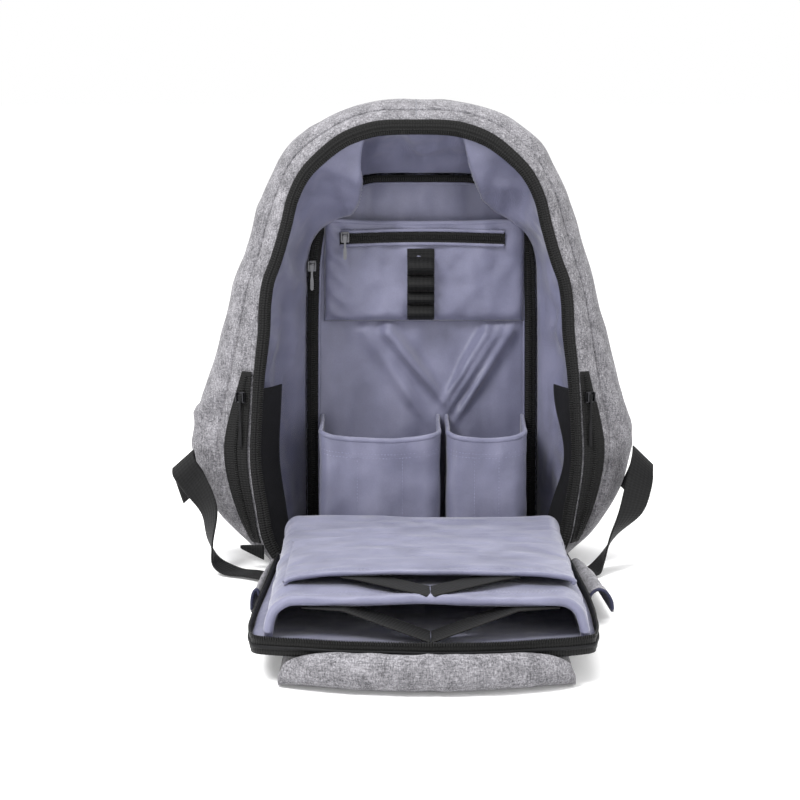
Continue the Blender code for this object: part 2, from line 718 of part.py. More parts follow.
def make_pockets():
    """Two padded pockets side by side at the foot of the divider."""
    left = POCKETS_LEFT
    for name, width in (("wide_pocket", WIDE_POCKET_WIDTH), ("narrow_pocket", NARROW_POCKET_WIDTH)):
        middle = left + width / 2
        left += width + POCKET_SPACE
        front_depth = DIVIDER_DEPTH_FOOT - POCKET_DEPTH

        def on_divider(across, up, along):
            height = POCKET_FOOT + POCKET_HEIGHT * along - POCKET_DIP * along * up / front_depth
            return (middle + across, divider_y(height) - 2 * GAP - up, height)

        right = box_section(width / 2, front_depth, POCKET_CORNER)
        pocket(name, on_divider, right, POCKET_WALL, (0.0, 0.3, 0.65, 1.0), LAVENDER, (0, -1, 0))


def side_point(share, side, step):
    """A point on one side of the shell, between its first two rings, so many ring points above its foot."""
    near, far = (body_section(SHELL_SHARES[k]) for k in (0, 1))
    section = near + (far - near) * share / SHELL_SHARES[1]
    half = section[RING_POINTS // 2 :][::-1] if side > 0 else section[: RING_POINTS // 2 + 1]
    return [np.interp(step, np.arange(len(half)), half[:, k]) for k in range(3)]


def make_side_zips():
    """Zip tapes of the side pockets, on the outside of the shell just behind the mouth."""
    heights = body_section(0.0)[: RING_POINTS // 2 + 1, 2]
    low, high = np.interp((SIDE_ZIP_FOOT, SIDE_ZIP_TOP), heights, np.arange(len(heights)))
    steps = np.concatenate([[low], np.arange(math.ceil(low), math.ceil(high)), [high]])
    narrow = 1.0 - SIDE_ZIP_NARROW * ((steps - low) / (high - low)) ** 3
    for side, name, room in ((-1, "left", LEFT_SIDE_ZIP_ROOM), (1, "right", RIGHT_SIDE_ZIP_ROOM)):
        rows = []
        for share in SIDE_ZIP_SHARES:
            rows.append([side_point(share * part, side, step) for step, part in zip(steps, narrow)])
        facing = (side, -1, 0)
        rows = outward(np.array(rows), GAP + room + SIDE_ZIP_WALL, facing)
        sheet("side_zip_tape_" + name, rows, SIDE_ZIP_WALL, BLACK, facing)
        ends = [[np.interp(SIDE_SLIDER_HEIGHT, row[:, 2], row[:, k]) for k in range(3)] for row in rows]
        across = (np.array(ends[2]) - ends[0]) * side
        turn = math.atan2(across[1], across[0])
        make_slider("side_zip_" + name, tuple(ends[1]), turn, LONG_PULLER, BLACK)


def make_slider(prefix, at, turn, length, colour):
    """A slider with two ears on its face, and the puller that hangs from a barrel between them."""
    half = SLIDER_WIDTH / 2
    ear = half - SLIDER_EAR_WALL
    face = -GAP - FACET_ROOM - SLIDER_BLOCK
    plan = [
        (-half, face + SLIDER_BLOCK), (-half, face - SLIDER_EAR), (-ear, face - SLIDER_EAR), (-ear, face),
        (ear, face), (ear, face - SLIDER_EAR), (half, face - SLIDER_EAR), (half, face + SLIDER_BLOCK),
    ]
    slider = prism(prefix + "_slider", plan, -SLIDER_HEIGHT / 2, SLIDER_HEIGHT / 2, colour)
    slider.location = at
    slider.rotation_euler = (0.0, 0.0, turn)

    bm = bmesh.new()
    profile = []
    for step in range(5):
        angle = math.radians(-60.0 + 60.0 * step)
        profile.append((PULLER_BARREL * math.cos(angle), PULLER_BARREL * math.sin(angle)))
    half_wall = PULLER_WALL / 2
    profile += [(-half_wall, -PULLER_NECK), (-half_wall, -length), (half_wall, -length), (half_wall, -PULLER_NECK)]
    reach = ear - GAP
    face = bm.faces.new([bm.verts.new((-reach, y, z)) for y, z in profile])
    for item in bmesh.ops.extrude_face_region(bm, geom=[face])["geom"]:
        if isinstance(item, bmesh.types.BMVert):
            item.co.x = reach
    puller = add_object(prefix + "_puller", bm, colour, 0.4)
    forward = GAP + FACET_ROOM + PIN_FORWARD
    puller.location = (
        at[0] + forward * math.sin(turn),
        at[1] - forward * math.cos(turn),
        at[2] + PIN_RAISE,
    )
    puller.rotation_euler = (0.0, 0.0, turn)


def panel_outline():
    """Edge of the folded panel from its left hinge corner round its front to its right one, as (x, y)."""
    flat = mirrored_outline(PANEL_SHAPE, PANEL_HALF_WIDTH, PANEL_LENGTH, PANEL_START, PANEL_POINTS)
    return np.column_stack([flat[:, 0] + PANEL_SHIFT, flat[:, 1]])


def make_panel():
    """The padded back panel lying open, and the zip tape that stands round its edge."""
    flat = panel_outline()
    edge = np.column_stack([flat[:, 0], panel_y(flat[:, 1]), panel_top(flat[:, 1])])
    spine = edge.copy()
    along = np.minimum(flat[:, 1], PANEL_SPINE)
    spine[:, 0] = PANEL_SHIFT
    spine[:, 1] = panel_y(along)
    spine[:, 2] = panel_top(along)
    bm = nested_mesh(edge, spine, (1.0, 0.93, 0.6, 0.0), lambda share: np.zeros(3))
    face_towards(bm, (0, 0, 1))
    for vert in bm.verts:
        if vert.is_boundary:
            vert.co.z -= PANEL_EDGE_DROP

    def wall(point):
        drop = panel_top(RIM_Y - point.y) - point.z
        return PANEL_WALL - 2 * drop

    thicken(bm, wall)
    add_object("back_panel", bm, GREY)

    rows = []
    for share in (0.0, 0.5, 1.0):
        tape = inset(flat, -TAPE_OUT)
        z = panel_under(flat[:, 1]) + PANEL_WALL / 2 + PANEL_TAPE_HEIGHT * (share - 0.5)
        z = np.maximum(z, FOOT + GAP)
        rows.append(np.column_stack([tape[:, 0], panel_y(tape[:, 1]), z]))
    sheet("panel_zip_tape", rows, TAPE_WALL, BLACK, (0, -1, 0))


def sleeve_rise(along, start, end, rise, swell):
    """How high a sleeve stands on what is under it, a distance along the panel from the hinge."""
    share = (along - start) / (end - start)
    return rise + swell * (1.0 - share)


def sleeve_place(start, end, rise, swell, half, lean, shift, base):
    """Puts a sleeve's points on a surface whose height along the panel is base(along).

    At its mouth the top of the sleeve leans in on both sides.
    """

    def place(across, up, along):
        distance = start + (end - start) * along
        narrow = 1.0 - lean / half * along * (up / rise) ** 2
        tall = sleeve_rise(distance, start, end, rise, swell) / rise
        z = base(distance) + GAP + FACET_ROOM + up * tall
        return (PANEL_SHIFT + shift + across * narrow, panel_y(distance), z)

    return place


def large_sleeve_top(along):
    rise = sleeve_rise(along, LARGE_SLEEVE_START, LARGE_SLEEVE_END, LARGE_SLEEVE_RISE, LARGE_SLEEVE_SWELL)
    return panel_top(along) + GAP + FACET_ROOM + rise


def make_sleeves():
    """The large padded sleeve on the panel and the small one on top of it."""
    place = sleeve_place(
        LARGE_SLEEVE_START, LARGE_SLEEVE_END, LARGE_SLEEVE_RISE, LARGE_SLEEVE_SWELL,
        LARGE_SLEEVE_HALF_WIDTH, LARGE_SLEEVE_LEAN, 0.0, panel_top,
    )
    right = box_section(LARGE_SLEEVE_HALF_WIDTH, LARGE_SLEEVE_RISE, LARGE_SLEEVE_CORNER)
    pocket("large_sleeve", place, right, LARGE_SLEEVE_WALL, (0.0, 0.3, 0.65, 1.0), LAVENDER, (0, 0, 1))
    place = sleeve_place(
        SMALL_SLEEVE_START, SMALL_SLEEVE_END, SMALL_SLEEVE_RISE, SMALL_SLEEVE_SWELL,
        SMALL_SLEEVE_HALF_WIDTH, 0.0, SMALL_SLEEVE_SHIFT, large_sleeve_top,
    )
    pocket("small_sleeve", place, small_section(), SMALL_SLEEVE_WALL, (0.0, 0.5, 1.0), LAVENDER, (0, 0, 1))


def small_section():
    return [(SMALL_SLEEVE_HALF_WIDTH * wide, SMALL_SLEEVE_RISE * high) for wide, high in SMALL_SLEEVE_SECTION]


def ribbon(name, centres, widths, wall, colour, facing):
    """A strap: centre points, and the half width vector at each."""
    centres = np.asarray(centres, float)
    widths = np.asarray(widths, float)
    return sheet(name, [centres - widths, centres, centres + widths], wall, colour, facing)


def hold_strap(name, side, spread, meet, tucked, mouth, far, high, low):
    """A strap from under a sleeve's hem down to the middle in front of it. Distances are from the hinge."""
    route = []
    for share in np.linspace(0.0, 1.0, 8):
        along = tucked + (far - tucked) * share
        fall = np.clip((along - mouth) / (far - mouth), 0.0, 1.0)
        x = PANEL_SHIFT + HOLD_STRAP_SHIFT + side * (spread + (meet - spread) * share)
        route.append((x, panel_y(along), high + (low - high) * fall))
    route = np.array(route)
    across = np.cross(np.gradient(route, axis=0), (0.0, 0.0, 1.0))
    across /= np.linalg.norm(across, axis=1)[:, None]
    ribbon(name, route, across * HOLD_STRAP_WIDTH / 2, HOLD_STRAP_WALL, BLACK, (0, 0, 1))


def make_hold_straps():
    """Two straps in a V over each sleeve's mouth, from under its hem to the middle in front of it."""
    lift = 2 * HOLD_STRAP_WALL + HOLD_STRAP_SLACK
    tucked = LARGE_SLEEVE_END - HOLD_STRAP_TUCK
    high = large_sleeve_top(tucked) - LARGE_SLEEVE_WALL - HOLD_STRAP_SLACK
    far = PANEL_LENGTH - LARGE_HOLD_INSET
    for side, name in ((-1, "left"), (1, "right")):
        hold_strap(
            "large_hold_strap_" + name, side, LARGE_HOLD_SPREAD, LARGE_HOLD_MEET, tucked, LARGE_SLEEVE_END, far,
            high, panel_top(far) + lift,
        )
    tucked = SMALL_SLEEVE_END - HOLD_STRAP_TUCK
    section = small_section()[::-1]
    outer = SMALL_HOLD_SPREAD + HOLD_STRAP_SHIFT + HOLD_STRAP_WIDTH / 2
    rise = np.interp(outer, [across for across, _ in section], [up for _, up in section])
    high = large_sleeve_top(tucked) + GAP + FACET_ROOM + rise - SMALL_SLEEVE_WALL - 2 * HOLD_STRAP_SLACK
    far = LARGE_SLEEVE_END - HOLD_STRAP_TUCK
    for side, name in ((-1, "left"), (1, "right")):
        hold_strap(
            "small_hold_strap_" + name, side, SMALL_HOLD_SPREAD, SMALL_HOLD_MEET, tucked, SMALL_SLEEVE_END, far,
            high, large_sleeve_top(far) + HOLD_STRAP_WALL + HOLD_STRAP_SLACK,
        )


def make_wings():
    """Grey side flaps that arch out from the panel's zip tape, next to the body."""
    outline = panel_outline()
    right = outline[PANEL_POINTS // 2 :][::-1]
    along = np.linspace(WING_START, WING_END, 8)
    half = np.interp(along, right[:, 1], right[:, 0]) - PANEL_SHIFT
    flare = np.interp(np.linspace(0.0, 1.0, 8), [row[0] for row in WING_FLARE], [row[1] for row in WING_FLARE])
    inner = half + TAPE_OUT + 2 * GAP
    for side, name, reach in ((-1, "left", LEFT_WING_REACH), (1, "right", RIGHT_WING_REACH)):
        rows = []
        for out, up in WING_SHAPE:
            x = PANEL_SHIFT + side * (inner + reach * out * flare)
            rows.append(np.column_stack([x, panel_y(along), WING_HEIGHT * up * flare]))
        sheet("side_wing_" + name, rows, WING_WALL, GREY, (side, 0, 1))


def make_yoke():
    """The padded grey yoke of the shoulder straps, which bulges out from under the panel's front edge."""
    outline = panel_outline()
    front = outline[np.argsort(outline[:, 0])]
    front = front[np.abs(front[:, 0] - PANEL_SHIFT) < PANEL_HALF_WIDTH * FRONT_EDGE_SHARE]
    bm = bmesh.new()
    loops = []
    for share in np.linspace(-1.0, 1.0, YOKE_COLUMNS):
        x = PANEL_SHIFT + share * YOKE_HALF_WIDTH
        edge = np.interp(x, front[:, 0], front[:, 1])
        tall = YOKE_END_HEIGHT + (1.0 - YOKE_END_HEIGHT) * math.sqrt(1.0 - abs(share) ** 5)
        loop = []
        for forward, up in YOKE_SECTION:
            along = edge + forward * (YOKE_LIP if forward > 0 else YOKE_BACK)
            loop.append(bm.verts.new((x, panel_y(along), panel_under(edge) * up * tall)))
        loops.append(loop)
    steps = len(YOKE_SECTION)
    for near, far in zip(loops, loops[1:]):
        for i in range(steps):
            j = (i + 1) % steps
            bm.faces.new((near[i], near[j], far[j], far[i]))
    bm.faces.new(loops[0])
    bm.faces.new(loops[-1])
    add_object("strap_yoke", bm, GREY)
    make_shoulder_straps(PANEL_LENGTH - YOKE_BACK - YOKE_SAG - STRAP_GAP)


def make_shoulder_straps(start):
    """Flat padded straps under the panel, from behind the yoke towards the body."""
    for side, name in ((-1, "left"), (1, "right")):
        rows = []
        for across, tall in STRAP_SECTION:
            row = []
            for share in np.linspace(0.0, 1.0, 7):
                along = start - STRAP_LENGTH * share
                middle = PANEL_SHIFT + side * (STRAP_SPREAD + STRAP_SPLAY * share**1.5)
                width = STRAP_WIDTH * (1.0 - STRAP_TAPER * share)
                high = min(STRAP_WALL, panel_under(along) - 3 * GAP)
                row.append((middle + across * width, panel_y(along), high * tall))
            rows.append(row)
        sheet("shoulder_strap_" + name, rows, lambda point: point.z, GREY, (0, 0, 1))


def make_webbing():
    """Webbing from the body's sides down to the shoulder straps, and a pointed tab at one corner."""
    half = WEBBING_WIDTH / 2
    for side, name, rows in ((-1, "left", WEBBING_LEFT), (1, "right", WEBBING_RIGHT)):
        route = []
        for out, forward, high, tilt, swing in rows:
            tilt = math.radians(tilt)
            swing = math.radians(swing)
            centre = (side * WEBBING_OUT * out, RIM_Y - WEBBING_FORWARD * forward, WEBBING_TOP * high)
            level = half * math.cos(tilt)
            width = (side * level * math.cos(swing), level * math.sin(swing), -half * math.sin(tilt))
            route.append((*centre, *width))
        route = curve_through(route, 24)
        ribbon("webbing_" + name, route[:, :3], route[:, 3:], WEBBING_WALL, BLACK, (0, -1, 0.4))
    root = -RIM_HALF_WIDTH * TAB_ROOT
    y = RIM_Y - TAPE_WALL
    high = [(root, y, TAB_HEIGHT), (root - TAB_LENGTH, y, TAB_HEIGHT)]
    low = [(root, y, TAB_HEIGHT - TAB_WIDTH), (root - TAB_LENGTH, y, TAB_HEIGHT - TAB_POINT)]
    sheet("corner_tab", [high, low], WEBBING_WALL, BLACK, (0, -1, 0))


def main():
    clear_scene()
    make_shell()
    make_mouth()
    make_divider()
    make_organizer()
    make_pockets()
    make_side_zips()
    make_panel()
    make_sleeves()
    make_hold_straps()
    make_wings()
    make_yoke()
    make_webbing()


main()
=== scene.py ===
"""The looks of an anti theft backpack, standing open, with its back panel folded down in front of it.

Metres, +Z up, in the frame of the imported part. Left and right are as seen from -Y, where the camera stands.
"""

import math

import bmesh
import bpy
import numpy as np
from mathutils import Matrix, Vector, noise
from mathutils.kdtree import KDTree

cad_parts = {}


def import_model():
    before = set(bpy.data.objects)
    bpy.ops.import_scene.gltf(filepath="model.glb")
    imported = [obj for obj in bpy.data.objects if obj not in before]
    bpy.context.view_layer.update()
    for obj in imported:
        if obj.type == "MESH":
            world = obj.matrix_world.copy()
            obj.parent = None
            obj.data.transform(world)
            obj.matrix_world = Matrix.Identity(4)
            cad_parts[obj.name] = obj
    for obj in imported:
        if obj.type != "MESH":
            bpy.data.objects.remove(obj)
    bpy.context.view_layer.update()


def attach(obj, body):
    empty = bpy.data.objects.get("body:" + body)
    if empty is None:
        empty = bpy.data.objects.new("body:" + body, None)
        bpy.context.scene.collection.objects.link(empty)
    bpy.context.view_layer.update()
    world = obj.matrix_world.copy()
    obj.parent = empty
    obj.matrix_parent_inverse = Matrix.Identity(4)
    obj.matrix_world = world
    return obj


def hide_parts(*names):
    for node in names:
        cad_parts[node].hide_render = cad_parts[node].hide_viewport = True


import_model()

# Sizes of the part, in metres, as in its source
GAP = 0.0003
BODY_HEIGHT = 0.449
BODY_HALF_WIDTH = 0.2145
BODY_SIDE_SHIFT = 0.0035
RIM_HEIGHT = 0.433
RIM_HALF_WIDTH = 0.160
FRONT_HEIGHT = 0.425
FRONT_HALF_WIDTH = 0.150
SIDE_DEPTH_FOOT = 0.135
SIDE_DEPTH_TOP = 0.100
FRONT_CROWN = 0.027
FRONT_SPINE_TOP = 0.330
RIM_Y = -0.070
RIM_LEAN = 0.022
SHELL_WALL = 0.003
FOOT = 0.0038
TAPE_WALL = 0.0012
GUSSET_HEIGHT = 0.170
LEFT_GUSSET_REACH = 0.020
RIGHT_GUSSET_REACH = 0.0125
DIVIDER_HEIGHT = 0.376
DIVIDER_HALF_WIDTH = 0.1155
DIVIDER_SHIFT = 0.006
DIVIDER_DEPTH_FOOT = 0.110
DIVIDER_DEPTH_TOP = 0.080
INNER_SHIFT = 0.0085
PANEL_LENGTH = 0.430
PANEL_HALF_WIDTH = 0.144
PANEL_SHIFT = 0.006
PANEL_WALL = 0.011
PANEL_FOOT = FOOT + 0.0008
PANEL_RAISE = 0.0285
PANEL_FLAT = 0.93
PANEL_ROUND = 0.07
ORGANIZER_FOOT = 0.230
ORGANIZER_TOP = 0.331
ORGANIZER_HALF_WIDTH = 0.099
ORGANIZER_RISE = 0.011
ORGANIZER_ZIP_HEIGHT = 0.315
LOOP_BAND_TOP = 0.303
LOOP_WIDTH = 0.026
LOOP_X = INNER_SHIFT - 0.0035
POCKET_FOOT = 0.012
POCKET_HEIGHT = 0.123
POCKET_DEPTH = DIVIDER_DEPTH_FOOT - 0.025
POCKET_WIDTHS = (("wide_pocket", 0.1178), ("narrow_pocket", 0.0785))
DIVIDER_TAPE_WIDTH = 0.0118
DIVIDER_TAPE_TOP = 0.0080
DIVIDER_TAPE_BEND = 0.300
SEAT = GAP + 0.0006
LARGE_START = 0.016
LARGE_END = 0.398
LARGE_RISE = 0.033
LARGE_SWELL = 0.007
LARGE_HALF = 0.131
LARGE_LEAN = 0.0100
SMALL_START = 0.172
SMALL_END = 0.356
SMALL_RISE = 0.013
SMALL_SWELL = -0.004
SMALL_SHIFT = 0.0027
SMALL_HALF = 0.1195
STRAP_HALF_WIDTH = 0.0125
WING_START = 0.030
WING_LENGTH = 0.173
WING_HEIGHT = 0.030
YOKE_HALF_WIDTH = 0.120
YOKE_LIP = 0.018
YOKE_BACK = 0.084
WEBBING_OUT = 0.223
WEBBING_FORWARD = 0.100
WEBBING_HIGH = 0.128
WEBBING_HALF_WIDTH = 0.0135
SIDE_ZIP_FOOT = 0.0265
SIDE_ZIP_TOP = 0.192
# Places of the sliders, and how far the side ones turn round the vertical, in radians
DIVIDER_SLIDER = (-0.1026, 0.02973, 0.285)
ORGANIZER_SLIDER = (-0.0695, 0.0160, 0.315)
LEFT_SLIDER = (-0.16692, -0.06111, 0.168)
LEFT_SLIDER_TURN = -0.4382
RIGHT_SLIDER = (0.16547, -0.05980, 0.168)
RIGHT_SLIDER_TURN = 0.4885
# The camera, from the photograph: its place, how far it looks down in degrees, its focal length and image
# width in pixels
CAMERA_PLACE = (-0.0155, -2.360, 0.539)
CAMERA_DOWN = 9.24
FOCAL_PIXELS = 2421
IMAGE_PIXELS = 800
# Points along an outline of the body
RING = 301
# Directions that a piece's face looks in
AHEAD = (0, -1, 0)
UP = (0, 0, 1)

# Half outlines of the mouth, the widest ring, the front, the divider and the panel, from the foot to the top:
# height and half width as shares
RIM_SHAPE = (
    (0.000, 0.84), (0.040, 0.91), (0.140, 0.97), (0.230, 1.00), (0.350, 0.99), (0.440, 0.975),
    (0.530, 0.95), (0.600, 0.94), (0.645, 0.92), (0.690, 0.875), (0.770, 0.81), (0.830, 0.77),
    (0.890, 0.69), (0.930, 0.59), (0.970, 0.45), (0.993, 0.29), (1.000, 0.00),
)
SIDE_SHAPE = (
    (0.000, 0.65), (0.050, 0.79), (0.100, 0.885), (0.150, 0.94), (0.200, 0.98), (0.250, 1.00),
    (0.320, 0.976), (0.380, 0.927), (0.440, 0.893), (0.520, 0.853), (0.600, 0.809), (0.680, 0.755),
    (0.770, 0.698), (0.855, 0.620), (0.900, 0.566), (0.946, 0.448), (0.975, 0.334), (0.997, 0.167),
    (1.000, 0.00),
)
FRONT_SHAPE = (
    (0.000, 0.90), (0.040, 0.94), (0.120, 0.985), (0.350, 1.00), (0.530, 0.93), (0.700, 0.81),
    (0.850, 0.64), (0.930, 0.47), (0.980, 0.26), (1.000, 0.00),
)
DIVIDER_SHAPE = (
    (0.000, 1.00), (0.250, 1.00), (0.500, 0.995), (0.680, 0.985), (0.800, 0.96), (0.870, 0.90),
    (0.925, 0.79), (0.970, 0.66), (0.995, 0.48), (1.000, 0.25), (1.000, 0.00),
)
PANEL_SHAPE = (
    (0.000, 0.95), (0.150, 0.96), (0.450, 0.98), (0.750, 1.00), (0.880, 0.99), (0.925, 0.96),
    (0.945, 0.86), (0.962, 0.68), (0.982, 0.42), (0.995, 0.20), (1.000, 0.00),
)
# Rings of the body: share of its depth, share of the way from the mouth to the widest ring, and from there
# to the front
BODY_SECTIONS = (
    (0.00, 0.00, 0.00),
    (0.10, 0.55, 0.00),
    (0.45, 1.00, 0.00),
    (0.78, 1.00, 0.42),
    (1.00, 1.00, 1.00),
)
# Side webbing: out, forward and high as shares, its tilt and its swing in degrees
WEBBING_LEFT = (
    (0.980, -0.50, 0.500, 42.0, 0.0),
    (1.002, -0.24, 0.720, 42.0, 0.0),
    (1.006, -0.07, 0.830, 42.0, 0.0),
    (1.004, 0.00, 0.800, 42.0, 0.0),
    (0.955, 0.00, 0.665, 48.0, 10.0),
    (0.893, 0.00, 0.460, 22.0, 50.0),
    (0.884, 0.05, 0.205, 6.0, 80.0),
    (0.862, 0.11, 0.090, 0.0, 100.0),
    (0.807, 0.18, 0.036, 0.0, 122.0),
    (0.700, 0.31, 0.030, 0.0, 120.0),
    (0.590, 0.54, 0.037, 0.0, 135.0),
    (0.500, 0.78, 0.030, 0.0, 142.0),
)
WEBBING_RIGHT = (
    (0.950, -0.50, 0.500, 44.0, 0.0),
    (0.985, -0.24, 0.740, 44.0, 0.0),
    (0.984, -0.07, 0.870, 44.0, 0.0),
    (0.980, 0.00, 0.840, 43.0, 0.0),
    (0.962, 0.00, 0.640, 24.0, 14.0),
    (0.930, 0.00, 0.440, 10.0, 30.0),
    (0.855, 0.04, 0.255, 4.0, 72.0),
    (0.805, 0.10, 0.095, 2.0, 96.0),
    (0.768, 0.20, 0.028, 0.0, 112.0),
    (0.698, 0.34, 0.021, 0.0, 122.0),
    (0.610, 0.56, 0.026, 0.0, 138.0),
    (0.560, 0.76, 0.030, 0.0, 142.0),
)
# Half sections, across and up as shares: the small sleeve from its edge, the side flap from the panel
SMALL_SLEEVE_SECTION = ((1.00, 0.00), (1.00, 0.26), (0.93, 0.56), (0.76, 0.82), (0.50, 0.96), (0.22, 1.00))
WING_SHAPE = ((0.00, 0.50), (0.12, 0.84), (0.40, 1.00), (0.72, 0.90), (0.94, 0.62), (1.00, 0.32))
# Section of the yoke: ahead and up as shares, once round from the low rear edge
YOKE_SECTION = (
    (-1.00, 0.20), (-0.92, 0.60), (-0.60, 0.86), (-0.20, 0.925), (0.00, 0.925), (0.19, 0.925),
    (0.26, 1.06), (0.44, 1.17), (0.70, 1.16), (0.93, 0.94), (1.00, 0.62), (0.82, 0.32),
    (0.25, 0.15), (-0.20, 0.05), (-0.60, 0.00), (-0.92, 0.00),
)
# Folds of the divider: x and z of a fold's top, x and z of its foot, how far it stands out, its width
DIVIDER_FOLDS = (
    (-0.035, 0.230, 0.027, 0.150, 0.0130, 0.0085),
    (-0.055, 0.230, 0.010, 0.130, 0.0062, 0.0100),
    (0.076, 0.230, 0.031, 0.152, 0.0110, 0.0065),
    (0.088, 0.230, 0.036, 0.146, 0.0090, 0.0065),
    (0.100, 0.230, 0.045, 0.138, 0.0085, 0.0070),
)


# Node helpers for the finishes


def add(made, kind, inputs=None, **settings):
    """A node in the finish, with values or links on its inputs."""
    tree = made.node_tree
    new = tree.nodes.new(kind)
    for key, value in settings.items():
        setattr(new, key, value)
    for key, value in (inputs or {}).items():
        if isinstance(value, bpy.types.NodeSocket):
            tree.links.new(value, new.inputs[key])
        else:
            new.inputs[key].default_value = value
    return new


def finish(name, roughness, metallic=0.0, sheen=0.0, specular=0.5):
    made = bpy.data.materials.new(name)
    made.use_nodes = True
    shader = made.node_tree.nodes["Principled BSDF"]
    shader.inputs["Roughness"].default_value = roughness
    shader.inputs["Metallic"].default_value = metallic
    shader.inputs["Sheen Weight"].default_value = sheen
    shader.inputs["Sheen Roughness"].default_value = 0.4
    shader.inputs["Specular IOR Level"].default_value = specular
    return made


def place_in(made, kind, scale):
    """Texture coordinates in metres times the scale."""
    coords = add(made, "ShaderNodeTexCoord")
    return add(made, "ShaderNodeMapping", {"Vector": coords.outputs[kind], "Scale": scale}).outputs[0]


def speckle(made, scale, detail):
    """Noise over the piece, with a scale for each direction."""
    inputs = {"Vector": place_in(made, "Object", scale), "Scale": 1.0, "Detail": detail}
    return add(made, "ShaderNodeTexNoise", inputs).outputs[0]


def ribs(made, vector, scale, distortion=0.0, direction="X"):
    inputs = {"Vector": vector, "Scale": scale, "Distortion": distortion}
    return add(made, "ShaderNodeTexWave", inputs, bands_direction=direction).outputs["Fac"]


def maths(made, operation, first, second=0.0):
    return add(made, "ShaderNodeMath", {0: first, 1: second}, operation=operation).outputs[0]


def ramp(made, factor, stops):
    new = add(made, "ShaderNodeValToRGB", {"Fac": factor})
    points = new.color_ramp.elements
    while len(points) < len(stops):
        points.new(0.5)
    for point, (at, colour) in zip(points, stops):
        point.position = at
        point.color = (*colour, 1.0)
    return new.outputs["Color"]


def use(made, colour=None, height=None, depth=0.0004, roughness=None):
    """Links colour, bump and roughness to the finish's shader."""
    tree = made.node_tree
    shader = tree.nodes["Principled BSDF"]
    if colour is not None:
        tree.links.new(colour, shader.inputs["Base Color"])
    if roughness is not None:
        tree.links.new(roughness, shader.inputs["Roughness"])
    if height is not None:
        bumped = add(made, "ShaderNodeBump", {"Height": height, "Distance": depth, "Strength": 1.0})
        tree.links.new(bumped.outputs[0], shader.inputs["Normal"])
    return made


def heather_finish():
    """Grey melange cloth: light and dark threads that run in three directions."""
    made = finish("heather_grey", 0.9, sheen=0.15, specular=0.2)
    along_x = speckle(made, (150, 850, 850), 3.0)
    along_y = speckle(made, (850, 150, 850), 3.0)
    along_z = speckle(made, (850, 850, 150), 3.0)
    cloud = speckle(made, (70, 70, 70), 4.0)
    threads = maths(made, "ADD", along_x, along_z)
    threads = maths(made, "ADD", threads, along_y)
    threads = maths(made, "ADD", threads, maths(made, "MULTIPLY", cloud, 0.7))
    mean = maths(made, "DIVIDE", threads, 3.7)
    colour = ramp(made, mean, [
        (0.41, (0.070, 0.068, 0.074)),
        (0.47, (0.130, 0.127, 0.137)),
        (0.53, (0.198, 0.193, 0.207)),
        (0.61, (0.310, 0.302, 0.322)),
    ])
    return use(made, colour, mean, 0.0012)


def lining_finish():
    """Lavender-grey nylon with a fine plain weave and soft crumples, and painted shade and highlight along
    its folds.
    """
    made = finish("lavender_nylon", 0.40, sheen=0.25, specular=0.5)
    weave = ribs(made, place_in(made, "Object", (1, 1, 1)), 620.0, 0.0, "DIAGONAL")
    cloud = speckle(made, (26, 26, 26), 4.0)
    folds = speckle(made, (34, 34, 13), 1.0)
    grain = speckle(made, (900, 900, 900), 2.0)
    tone = maths(made, "ADD", maths(made, "MULTIPLY", cloud, 0.45), maths(made, "MULTIPLY", grain, 0.15))
    # Painted shade and highlight: the fold noise darkens the colour in the fold valleys and lightens it on
    # the crests
    tone = maths(made, "ADD", tone, maths(made, "MULTIPLY", folds, 0.4))
    colour = ramp(made, tone, [
        (0.36, (0.112, 0.114, 0.174)),
        (0.5, (0.143, 0.145, 0.218)),
        (0.64, (0.182, 0.183, 0.265)),
    ])
    height = maths(made, "ADD", maths(made, "MULTIPLY", weave, 0.06), maths(made, "MULTIPLY", cloud, 0.8))
    height = maths(made, "ADD", height, maths(made, "MULTIPLY", folds, 3.0))
    return use(made, colour, height, 0.0022)


def black_finish(name, tint, roughness, scale):
    """Black cloth with a ribbed weave along both threads."""
    made = finish(name, roughness, sheen=0.02, specular=0.18)
    grain = speckle(made, (scale, scale, scale), 2.0)
    cloud = speckle(made, (45, 45, 45), 3.0)
    tone = maths(made, "ADD", maths(made, "MULTIPLY", grain, 0.6), maths(made, "MULTIPLY", cloud, 0.4))
    light = tuple(part * 2.6 for part in tint)
    colour = ramp(made, tone, [(0.35, tint), (0.7, light)])
    return use(made, colour, tone, 0.0005)


def ribbed_finish(name, tint, roughness, pitch, depth):
    """Woven tape: ribs across its run, from its own lengthwise coordinates."""
    made = finish(name, roughness, sheen=0.02, specular=0.18)
    run = place_in(made, "UV", (1, 1, 1))
    across = ribs(made, run, 0.157 / pitch, 0.4, "X")
    lengthwise = ribs(made, run, 0.10 / pitch, 0.4, "Y")
    grain = speckle(made, (700, 700, 700), 2.0)
    height = maths(made, "ADD", across, maths(made, "MULTIPLY", lengthwise, 0.7))
    tone = maths(made, "ADD", maths(made, "MULTIPLY", height, 0.35), maths(made, "MULTIPLY", grain, 0.4))
    light = tuple(part * 2.4 for part in tint)
    colour = ramp(made, tone, [(0.2, tint), (0.85, light)])
    return use(made, colour, height, depth)


def mesh_finish():
    """Black spacer mesh, with small holes; the cell centres are painted darker, as painted shade inside the
    holes.
    """
    made = finish("black_air_mesh", 0.8, sheen=0.2, specular=0.3)
    cells = add(made, "ShaderNodeTexVoronoi", {"Vector": place_in(made, "Object", (1, 1, 1)), "Scale": 420.0})
    near = cells.outputs["Distance"]
    # Painted shade: the colour is darker near each cell's centre, standing in for the shade inside the mesh's
    # holes
    colour = ramp(made, near, [(0.25, (0.006, 0.006, 0.007)), (0.5, (0.035, 0.035, 0.037))])
    return use(made, colour, near, 0.0012)


